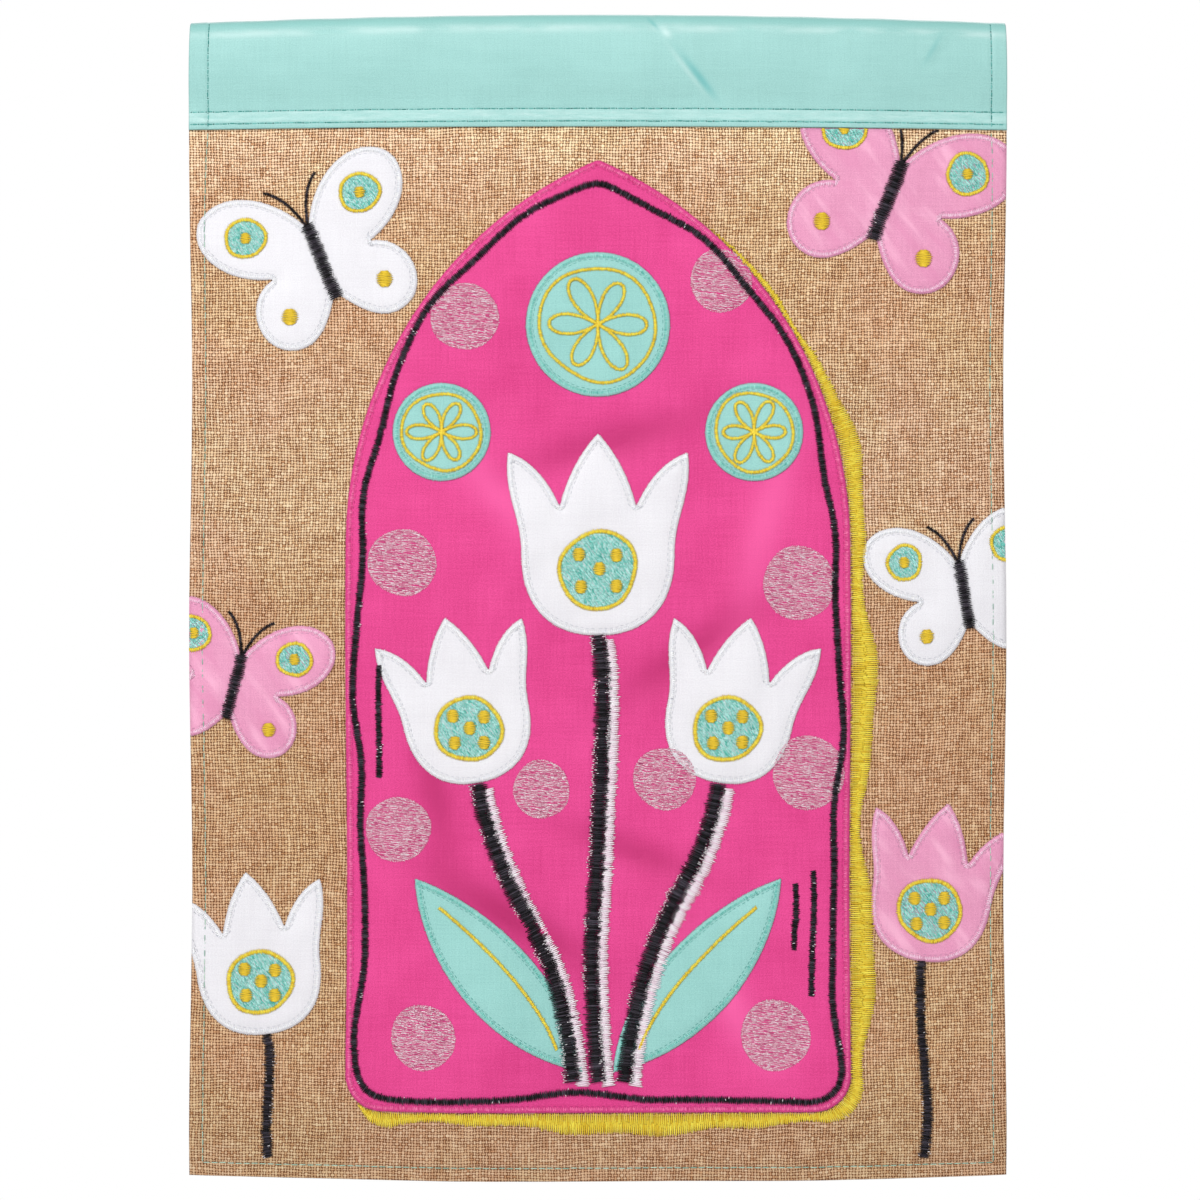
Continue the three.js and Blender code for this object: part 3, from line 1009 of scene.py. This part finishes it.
def edging(stitches, patch):
    line = facing_out(softened(patch.whole, EDGE_SOFTNESS))
    satin(stitches, line, -EDGE_IN, EDGE_OUT, closed=True, ragged=0.12, lift=0.24)
    points, way = along(softened(patch.whole, TACK_SOFTNESS), 1.0, True)
    tack = points - left_of(way) * (TACK * outline_way(points))
    running(stitches, tack, 2.0, 0.1, 0.04, half=0.15, tone=TACK_TONE)


def spot(across, down, radius, over):
    """A small round of yellow, its stitches side by side."""

    def half(points, normal):
        gone = np.clip(np.abs(points[:, 1] - down) / radius, 0, 1)
        return radius * np.sqrt(1 - gone**2) + 0.4

    line = [(across, down - radius), (across, down + radius)]
    keys = dict(ragged=0.12, lift=0.45, over=over, tone=SPOT_TONE)
    satin(threads["yellow"], line, lambda p, n: -half(p, n), half, **keys)


def eye(middle, radius, line, spots):
    """An aqua round with a yellow ring, and spots of (across, up, radius) in it."""
    fill(threads["aqua"], blob(*middle, radius), turn=0.9, pitch=0.38, length=1.25, over=0.05, loose=0.12)
    ring = blob(*middle, radius + line / 4)
    stroke(threads["yellow"], ring, line, closed=True, lift=0.42, over=0.1, ragged=0.1)
    for x, y, size in spots:
        spot(middle[0] + x * radius, middle[1] - y * radius, size, 0.2)


def black_stroke(line, width, share, level, **keys):
    """A thick black line, with a share of pale specks at a level above the cloth."""
    ticks(stroke(threads["black"], line, width, **keys), share, level)


def tulip_marks(place):
    middle = placed([(0, -10)], **place)[0]
    places = ((0.04, 0.03), (-0.52, 0.42), (0.5, 0.4), (-0.46, -0.46), (0.5, -0.44))
    eye(middle, 13.5 * place["size"], 2.3, [(x, y, 2.5) for x, y in places])


def butterfly_marks(place):
    size = place["size"]
    for hand in (-1, 1):
        eye(placed([(24 * hand, 18)], **place)[0], 7.0 * size, 2.0, [(0, 0, 2.1)])
        spot(*placed([(20 * hand, -17)], **place)[0], 3.1 * size, 0.05)
        feeler = placed(curves((0, 12), ((2 * hand, 22), (6 * hand, 29), (11 * hand, 32))), **place)
        stroke(threads["black"], feeler, FEELER_LINE, ragged=0.1, lift=0.3, over=0.3)
    body = placed(curves((0, 14), ((0.6, 5), (-0.6, -6), (0, -17))), **place)
    black_stroke(body, 5.6 * size, 0.3, 1.0, ragged=0.35, lift=0.7, over=0.35)


def roundel_marks(place):
    middle, radius = np.array([place["across"], place["down"]]), place["size"]
    turn = turns(240)
    reach = 0.68 * radius * np.abs(np.cos(3 * turn)) ** 0.8 * (1 + 0.06 * np.sin(2 * turn + middle[0]))
    petals = middle + np.stack([np.cos(turn), np.sin(turn)], -1) * reach[:, None]
    keys = dict(closed=True, ragged=0.1, lift=0.35)
    stroke(threads["yellow"], petals, PETAL_LINE, over=0.1, **keys)
    stroke(threads["yellow"], blob(*middle, radius * 0.8, 0.03), RING_LINE, over=0.05, **keys)


def leaf_marks(place):
    tip = LEAF_TIP * math.copysign(1, place["across"])
    vein = curves((tip * 0.2, 12), ((tip * 0.1, 34), (tip * 0.5, 62), (tip * 0.86, 82)))
    stroke(threads["yellow"], placed(vein, **place), VEIN_LINE, ragged=0.1, lift=0.35, over=0.05)


MARKS = dict(tulip=tulip_marks, butterfly=butterfly_marks, roundel=roundel_marks, leaf=leaf_marks)


def shade_band(points, normal):
    """The width of the yellow band, which lies low and to the right of the arch."""
    uneven = 1 + 0.36 * np.sin(points @ (0.044, 0.061)) + 0.12 * np.sin(points @ (0.17, 0.14))
    return 0.5 + np.maximum(0, normal @ (BAND_ACROSS, BAND_DOWN)) * uneven


def embroider():
    for across, down, radius in DOTS:
        outline = blob(across, down, radius, 0.02)
        fill(threads["pale_pink"], outline, turn=0.12, length=1.3, loose=0.15, over=0.02, half=DOT_THREAD)
        keys = dict(pitch=0.7, closed=True, ragged=0.1, lift=0.2, half=DOT_THREAD)
        stroke(threads["pale_pink"], outline, 0.8, **keys)

    for patch in PATCHES:
        edging(threads["aqua_edge" if patch.cloth == "aqua" else patch.cloth], patch)

    outline = facing_out(softened(PATCHES[0].whole, EDGE_SOFTNESS))
    keys = dict(closed=True, ragged=0.28, lift=0.3, splits=2, pitch=0.38)
    satin(threads["yellow"], outline, 0.3, shade_band, **keys)

    points, way = along(softened(outline, INK_SOFTNESS), 1.0, True)
    ink = softened(wobble(points - left_of(way) * INK_INSET, INK_WANDER, 1.3, True), 2.0)
    black_stroke(ink, INK_LINE, 0.05, 0.65, closed=True, ragged=0.2, lift=0.4, over=0.3)
    for line in ACCENTS:
        black_stroke(wobble(curves(*line), 0.3, 2.0), ACCENT_LINE, 0.08, 0.45, ragged=0.2, lift=0.45)

    for line in STEMS:
        stem = wobble(curves(*line), 0.45, line[0][0])
        stroke(threads["shade"], stem + SHADE_ASIDE, PALE_LINE, ragged=0.42, lift=0.3, over=0.1)
        black_stroke(stem, STEM_LINE, 1.0, 0.95, ragged=0.48, lift=0.6, over=0.4, pitch=0.34)
    for line in LOW_STEMS:
        stem = wobble(curves(*line), 0.4, line[0][0])
        black_stroke(stem, LOW_STEM_LINE, 0.35, 0.5, ragged=0.36, lift=0.5, over=0.1)

    for patch in PATCHES[1:]:
        MARKS[patch.motif](patch.place)


def sewing():
    """The machine-sewn lines: hems in pale thread, and the sleeve in teal."""
    low = HEIGHT - HEM_STITCH
    downs = np.linspace(SLEEVE_DEPTH + 1, low, 120)
    lines = [np.array([(HEM_STITCH - HALF, low), (HALF - HEM_STITCH, low)])]
    for hand in (-1, 1):
        lines.append(np.stack([hand * (HALF - seam_inset(hand, downs)), downs], -1))
    for line in lines:
        for keys in ({}, dict(on=reverse, side=-1)):
            running(hem_thread, line, HEM_LENGTH, 0.0, 0.12, half=SEWING_THREAD, over=0.14, **keys)

    lines = [np.array([(1 - HALF, row), (HALF - 1, row)]) for row in SLEEVE_ROWS]
    for hand in (-1, 1):
        side = hand * (HALF - seam_inset(hand, SLEEVE_DEPTH))
        lines.append(np.array([(side, 1.5), (side, SLEEVE_DEPTH - 0.5)]))
    for line in lines:
        for side in (1, -1):
            keys = dict(on=sleeve_face, side=side)
            running(sleeve_thread, line, ROW_STITCH, 0.5, 0.08, half=SEWING_THREAD, **keys)
            # the needle holes: short stitches, most of them darkened as painted shade of the holes
            holes, way = along(line, ROW_PITCH)
            tone = draw.uniform(-0.9, 0.4, len(holes))
            sleeve_thread.add(holes - way * HOLE, holes + way * HOLE, 0.1, half=0.23, tone=tone, **keys)


# ---- materials ----


class Value:
    """A number or colour that a material works out. Numbers take plain arithmetic."""

    def __init__(self, recipe, socket):
        self.recipe, self.socket = recipe, socket

    def __add__(self, other):
        return self.recipe.math("ADD", self, other)

    def __sub__(self, other):
        return self.recipe.math("SUBTRACT", self, other)

    def __rsub__(self, other):
        return self.recipe.math("SUBTRACT", other, self)

    def __mul__(self, other):
        return self.recipe.math("MULTIPLY", self, other)

    def __truediv__(self, other):
        return self.recipe.math("DIVIDE", self, other)


class Recipe:
    """A material's nodes, made one call at a time. What they give each other are Values."""

    def __init__(self, name, roughness, specular=0.5, sheen=0.0):
        self.material = bpy.data.materials.new(name)
        self.material.use_nodes = True
        self.tree = self.material.node_tree
        self.shader = self.tree.nodes["Principled BSDF"]
        gloss = {"Roughness": roughness, "Specular IOR Level": specular, "Sheen Weight": sheen}
        self.feed(self.shader, gloss)

    def feed(self, node, inputs):
        """Link a node's inputs to values, or set them to plain numbers."""
        for key, value in inputs.items():
            if isinstance(value, Value):
                self.tree.links.new(value.socket, node.inputs[key])
            else:
                node.inputs[key].default_value = value

    def node(self, kind, inputs, output=0, **settings):
        """What a new node gives."""
        made = self.tree.nodes.new("ShaderNode" + kind)
        for key, value in settings.items():
            setattr(made, key, value)
        self.feed(made, inputs)
        return Value(self, made.outputs[output])

    def math(self, operation, *values):
        return self.node("Math", dict(enumerate(values)), operation=operation)

    def cloth(self, name="cloth"):
        """The cloth's own across and down, in millimetres."""
        uv = self.node("UVMap", {}, uv_map=name)
        return [self.node("SeparateXYZ", {0: uv}, i) * MAP_UNIT for i in (0, 1)]

    def vector(self, x, y, z):
        return self.node("CombineXYZ", {0: x, 1: y, 2: z})

    def noise(self, x, y, z, scale=1.0, detail=2.0, roughness=0.5):
        settings = {"Scale": scale, "Detail": detail, "Roughness": roughness}
        return self.node("TexNoise", {"Vector": self.vector(x, y, z), **settings})

    def white(self, x, y, z):
        """A random number for each whole x, y and z."""
        return self.node("TexWhiteNoise", {"Vector": self.vector(x, y, z)}, noise_dimensions="3D")

    def span(self, value, low, high, to_low=0.0, to_high=1.0, smooth=False):
        """to_low at low, to_high at high, and between them in between."""
        inputs = {0: value, 1: low, 2: high, 3: to_low, 4: to_high}
        return self.node("MapRange", inputs, interpolation_type="SMOOTHSTEP" if smooth else "LINEAR")

    def bell(self, off, width):
        """1 in the middle, falling away to 0 about two widths off."""
        share = off / width
        return self.math("EXPONENT", share * share * -1.0)

    def mix(self, factor, a, b, blend="MIX"):
        """Two colours mixed, each a value or (red, green, blue) as seen."""
        a, b = (linear(*colour) if isinstance(colour, tuple) else colour for colour in (a, b))
        settings = dict(data_type="RGBA", blend_type=blend, clamp_factor=True)
        return self.node("Mix", {0: factor, 6: a, 7: b}, 2, **settings)

    def finish(self, colour, height, depth):
        """The material, with its colour and its fine relief: height 1 is depth millimetres."""
        relief = self.node("Bump", {"Height": height, "Distance": depth * MM, "Strength": 1.0})
        self.feed(self.shader, {"Base Color": colour, "Normal": relief})
        return self.material


def linear(red, green, blue):
    """A colour seen as 0 to 255 steps, as light."""
    shares = (np.array([red, green, blue]) / 255.0).tolist()
    return (*(c / 12.92 if c <= 0.04045 else ((c + 0.055) / 1.055) ** 2.4 for c in shares), 1.0)


YARN_ACROSS, YARN_DOWN = 1.16, 1.13  # spacing of the sacking's yarns
SACK_DARK, SACK_PALE = (217, 171, 129), (255, 236, 204)
# Painted highlight for the crowns of crossing yarns, and painted shade for the gaps between them.
SACK_HIGHLIGHT, SACK_GAP_SHADE = (255, 251, 233), (106, 65, 35)
SACK_COOL, SACK_WARM = (255, 251, 236), (255, 243, 236)
# Painted shade, darker towards the bottom: from down, to down, and what its colour is multiplied by from
# there on.
SACK_FALLOFF_SHADE = (
    (48.0, 85.0, (238, 228, 222)),
    (120.0, 160.0, (238, 232, 232)),
    (195.0, 240.0, (226, 213, 205)),
    (400.0, 450.0, (215, 206, 201)),
)


def sacking():
    m = Recipe("sacking", roughness=0.85, specular=0.2, sheen=0.12)
    x, y = m.cloth()
    # Its yarns, numbered by u across and v down, wander a little.
    u = x / YARN_ACROSS + m.noise(x, y, 0.0, 0.025) * 3.0
    v = y / YARN_DOWN + m.noise(x, y, 40.0, 0.03) * 3.0
    shake_u = m.noise(u * 0.9, v * 0.3, 0.0, detail=1.0)
    shake_v = m.noise(u * 0.3, v * 0.9, 9.0, detail=1.0)
    u, v = u + shake_u * 0.5, v + shake_v * 0.5
    number_u, number_v = m.math("FLOOR", u), m.math("FLOOR", v)

    def yarn(number, at, along_it, z):
        """Its rounded height, with thin, thick and slubby stretches."""
        slub = m.noise(number * 3.7, along_it * 0.16, z)
        ratio = (m.math("FRACT", at) - 0.5) / (m.white(number, 0.0, z) * 0.09 + slub * 0.52 + 0.04)
        return m.math("SQRT", m.math("MAXIMUM", 1.0 - ratio * ratio, 0.0)), slub

    body_u, slub_u = yarn(number_u, u, v, 1.0)
    body_v, slub_v = yarn(number_v, v, u, 5.0)
    over_u = m.math("COSINE", (v - 0.5 + number_u) * math.pi)
    over_v = m.math("COSINE", (u - 0.5 + number_v) * math.pi)
    height_u = body_u * (over_u * 0.38 + 0.62)
    height_v = body_v * (0.62 - over_v * 0.38)
    height = m.math("MAXIMUM", height_u, height_v)
    slub = m.node("Mix", {0: m.math("GREATER_THAN", height_u, height_v), 2: slub_v, 3: slub_u})

    fleck = m.noise(u * 1.7, v * 1.7, 21.0, roughness=0.7)
    tone = slub * 1.4 + m.white(number_u, number_v, 3.0) * 0.2 + fleck * 0.3
    body = m.mix(m.span(tone, 0.6, 1.3), SACK_DARK, SACK_PALE)
    # painted highlight on the crowns of some crossings
    crown_highlight = m.span(m.white(number_u, number_v, 8.0), 0.3, 1.0) * m.span(height, 0.6, 0.95)
    body = m.mix(crown_highlight * 0.55, body, SACK_HIGHLIGHT)
    warmth = m.mix(m.span(m.noise(x, y, 60.0, 0.02), 0.38, 0.62, smooth=True), SACK_COOL, SACK_WARM)
    body = m.mix(1.0, body, warmth, "MULTIPLY")
    # painted shade: the sacking darkens towards the bottom
    falloff_shade = (255, 255, 255)
    for low, high, colour in SACK_FALLOFF_SHADE:
        falloff_shade = m.mix(m.span(y, low, high, smooth=True), falloff_shade, colour)
    body = m.mix(1.0, body, falloff_shade, "MULTIPLY")
    # painted shade in the gaps between yarns and where a yarn dips under another
    colour = m.mix(m.span(height, 0.3, 0.7, smooth=True), SACK_GAP_SHADE, body)
    return m.finish(colour, height + fleck * 0.3, 0.15)


STREAK, WEAVE_RATE = 0.35, 9.2


def plain_cloth(name, shown, dark, roughness=0.62, sheen=0.2, specular=0.3, tint=None):
    """Fine closely woven cloth with faint yarn streaks and slow unevenness of colour. tint changes
    the colour by place."""
    m = Recipe(name, roughness, specular, sheen)
    x, y = m.cloth()
    weave = m.math("SINE", x * WEAVE_RATE) * m.math("SINE", y * WEAVE_RATE)
    streaks = m.noise(x * 1.5, y * 0.05, 0.0, detail=3.0) + m.noise(x * 0.05, y * 1.5, 7.0, detail=3.0)
    grain = m.noise(x, y, 30.0, 2.2, 1.0)
    blotch = m.noise(x, y, 12.0, 0.035, 3.0)
    tone = streaks * STREAK + blotch * 0.6 + grain * 1.1 + weave * 0.04
    shade = m.mix(m.span(tone, STREAK + 0.45, STREAK + 1.25, smooth=True), dark, shown)
    return m.finish(tint(m, x, y, shade) if tint else shade, weave * 0.35 + streaks * 1.2, 0.05)


def creased(m, right, down, shade, table, colours):
    """Painted shade (dark, share above 0) and painted highlight (pale, share below 0) along the lines of
    a table of creases.
    """
    for at_across, at_down, lean, length, width, share in table:
        c, s = cos_sin(lean)
        x, y = right - at_across, down - at_down
        shape = m.bell(x * s + y * c, length) * m.bell(x * c - y * s, width)
        shade = m.mix(shape * abs(share), shade, colours[share < 0])
    return shade


HOLLOW_SHADE, RIDGE_HIGHLIGHT = (182, 30, 102), (240, 92, 162)  # the hot pink's painted shade in fold hollows and painted highlight on fold ridges
WRINKLE_HIGHLIGHT, WRINKLE_SHADE = (248, 188, 214), (216, 132, 172)  # the soft pink's painted highlight and painted shade of its wrinkles
# The sleeve's painted shade and highlight: at its top fold, on its crease and between its rows, along its
# rows and at its lower edge.
SLEEVE_FOLD_SHADE, SLEEVE_HIGHLIGHT = (126, 190, 184), (198, 226, 223)
SLEEVE_SEAM_SHADE, SLEEVE_EDGE_SHADE = (92, 166, 162), (84, 140, 134)


def arch_tint(m, x, y, shade):
    """Painted shade in the hollows of its broad folds, and painted highlight on their ridges."""
    table = [(*fold[:5], fold[5] * FOLD_SHADE) for fold in ARCH_FOLDS]
    return creased(m, x, y, shade, table, (HOLLOW_SHADE, RIDGE_HIGHLIGHT))


def satin_tint(m, x, y, shade):
    """Slight slanting wrinkles, only painted: painted highlight on their backs and painted shade between
    them.
    """
    wrinkle = m.noise((x * 0.6 + y * 0.8) * 0.035, (x * 0.8 - y * 0.6) * 0.15, 12.0)
    shade = m.mix(m.span(wrinkle, 0.5, 0.74, smooth=True) * 0.5, shade, WRINKLE_HIGHLIGHT)
    return m.mix(m.span(wrinkle, 0.3, 0.46, 1.0, 0.0, smooth=True) * 0.45, shade, WRINKLE_SHADE)


def sleeve_tint(m, x, y, shade):
    """Painted shade at the top fold, a broken painted highlight along the crease below it, painted sheen
    between the rows, painted shade along the rows, painted shade and highlight along the creases, and
    painted shade at the lower edge.
    """
    lap = m.math("MINIMUM", y, PATH_LENGTH - y)
    # painted shade where the cloth turns over the top fold
    fold = m.span(lap, PATH_LENGTH / 2 - 5.5, PATH_LENGTH / 2 - 2.5, smooth=True)
    shade = m.mix(fold * 0.5, shade, SLEEVE_FOLD_SHADE)
    # painted highlight: a broken pale line along the pressed crease, and sheen on the puckers between the
    # rows
    broken = m.span(m.noise(x * 0.05, y * 0.15, 5.0, detail=3.0), 0.36, 0.6)
    crease = m.bell(lap - (TOP_CREASE - 0.6), 1.5) * broken
    between_rows = m.span(lap, 2.5, 3.0) * m.span(lap, 6.6, 7.1, 1.0, 0.0)
    pucker = m.span(m.noise(x * 0.1, y * 0.7, 25.0, detail=4.0, roughness=0.7), 0.42, 0.7)
    pale = m.math("MAXIMUM", crease * 0.5, between_rows * (pucker * 0.45 + 0.1))
    shade = m.mix(pale, shade, SLEEVE_HIGHLIGHT)
    # painted shade along each stitched row
    for row in SLEEVE_ROWS:
        shade = m.mix(m.bell(lap - (SLEEVE_DEPTH - row), 0.4) * 0.2, shade, SLEEVE_SEAM_SHADE)
    down = CREASE_LEVEL + float(np.interp(CREASE_LEVEL, FACE_DOWN, FACE_PATH)) - y
    shade = creased(m, x, down, shade, CREASE_SHADING, (CREASE_SHADE, CREASE_HIGHLIGHT))
    # painted shade along the sleeve's lower edge
    return m.mix(m.span(lap, 0.15, 0.55, 1.0, 0.0) * 0.5, shade, SLEEVE_EDGE_SHADE)


THREAD_DULL = (150, 150, 156)  # what multiplies the colour of stitches with a tone below 0, as on the tack lines and the needle holes' painted shade


def thread(name, dark, shown, roughness=0.42, specular=0.4, tones=(0.0, 1.0)):
    """Twisted shiny thread, each stitch of its own tone. tones are its darkest and palest."""
    m = Recipe(name, roughness, specular)
    run, around = m.cloth("thread")
    twist = m.math("SINE", run * 11.0 + around * 0.12)
    # the twist gives painted highlight along each stitch, as well as its fine relief
    tone = m.node("Attribute", {}, "Fac", attribute_name="tone") + twist * 0.13
    body = m.mix(m.span(tone, *tones), dark, shown)
    colour = m.mix(m.span(tone, -1.0, 0.0, 1.0, 0.0), body, THREAD_DULL, "MULTIPLY")
    return m.finish(colour, twist, 0.016)


# ---- the pieces ----

CLOTHS = {
    "white": plain_cloth("white_cloth", (232, 231, 235), (217, 215, 220)),
    "hot_pink": plain_cloth("arch_cloth", (231, 73, 148), (202, 43, 118), tint=arch_tint),
    "soft_pink": plain_cloth("soft_pink_cloth", (234, 162, 195), (210, 134, 169), tint=satin_tint),
    "aqua": plain_cloth("aqua_cloth", (156, 210, 204), (134, 189, 183)),
}

finish_piece(panel(), sacking(), "sacking", ["panel"])
satin_cloth = plain_cloth("aqua_satin", (158, 208, 203), (142, 192, 187), 0.5, 0.25, 0.4, sleeve_tint)
finish_piece(sleeve(), satin_cloth, "aqua_satin", ["sleeve"])
for patch in PATCHES:
    finish_piece(patch_mesh(patch), CLOTHS[patch.cloth], patch.cloth + "_cloth", [patch.name])

embroider()
sewing()
for name, (dark, shown, slot) in THREADS.items():
    keys = dict(specular=0.22, tones=(0.4, 1.5)) if name == "black" else {}
    material = thread(name + "_thread", dark, shown, **keys)
    finish_piece(threads[name].mesh("stitches_" + name), material, slot)
white = thread("under_thread", (206, 200, 196), (250, 248, 244))
pale = thread("pale_sewing_thread", (140, 184, 166), (205, 232, 212), 0.6, 0.3)
teal = thread("teal_sewing_thread", (44, 142, 134), (128, 204, 197), 0.6, 0.3)
finish_piece(under.mesh("stitches_under"), white, "white_thread")
finish_piece(hem_thread.mesh("hem_stitches"), pale, "pale_sewing_thread")
finish_piece(sleeve_thread.mesh("sleeve_stitches"), teal, "teal_sewing_thread")

# ---- floor, light and camera ----

PICTURE = 1200  # the picture is square
MM_PER_PIXEL = 0.3896
MIDDLE_ACROSS = 0.8  # the picture's middle on the banner
MIDDLE_DOWN = 228.3
CAMERA_AWAY = 1.9
SENSOR = 36.0
FLOOR_LEVEL = -0.6
FLOOR_FRONT, FLOOR_BACK, FLOOR_SIDE = -1.3, 0.95, 1.2


def floor():
    places = (-1, FLOOR_FRONT), (1, FLOOR_FRONT), (1, FLOOR_BACK), (-1, FLOOR_BACK)
    corners = [(hand * FLOOR_SIDE, back, FLOOR_LEVEL) for hand, back in places]
    mesh = bpy.data.meshes.new("floor")
    mesh.from_pydata(corners, [], [(0, 1, 2, 3)])
    obj = add_object("floor", mesh)
    m = Recipe("floor", roughness=0.9, specular=0.2)
    m.shader.inputs["Base Color"].default_value = (0.86, 0.86, 0.86, 1)
    mesh.materials.append(m.material)


def area_light(name, place, target, size, power):
    light = bpy.data.lights.new(name, "AREA")
    light.shape = "DISK"
    light.size = size
    light.energy = power
    obj = add_object(name, light)
    obj.location = place
    obj.rotation_euler = (Vector(target) - Vector(place)).to_track_quat("-Z", "Y").to_euler()
    obj.visible_camera = False


def white_surround(light_strength):
    """White to look at, softer as a light."""
    world = bpy.data.worlds.new("surround")
    bpy.context.scene.world = world
    world.use_nodes = True
    tree = world.node_tree
    tree.nodes.clear()
    kinds = "LightPath", "Background", "Background", "MixShader", "OutputWorld"
    path, seen, lit, mixed, out = (tree.nodes.new("ShaderNode" + kind) for kind in kinds)
    seen.inputs[0].default_value = lit.inputs[0].default_value = (1, 1, 1, 1)
    lit.inputs[1].default_value = light_strength
    tree.links.new(path.outputs["Is Camera Ray"], mixed.inputs[0])
    tree.links.new(lit.outputs[0], mixed.inputs[1])
    tree.links.new(seen.outputs[0], mixed.inputs[2])
    tree.links.new(mixed.outputs[0], out.inputs[0])


def camera():
    data = bpy.data.cameras.new("camera")
    data.sensor_width = SENSOR
    data.lens = SENSOR * CAMERA_AWAY / (PICTURE * MM_PER_PIXEL * MM)
    obj = add_object("camera", data)
    obj.location = (MIDDLE_ACROSS * MM, -CAMERA_AWAY, -MIDDLE_DOWN * MM)
    obj.rotation_euler = (math.pi / 2, 0, 0)
    bpy.context.scene.camera = obj


floor()
middle = (0, 0, -MIDDLE_DOWN * MM)
area_light("key", (-0.5, -1.5, 0.7), middle, 0.9, 22)
area_light("fill", (1.5, -1.7, 0.3), middle, 1.4, 4.5)
area_light("back", (0.3, 1.8, 0.9), middle, 1.4, 14)
white_surround(0.475)
camera()
view = bpy.context.scene.view_settings
view.view_transform = "Standard"
view.look = "None"
view.exposure = 0
view.gamma = 1
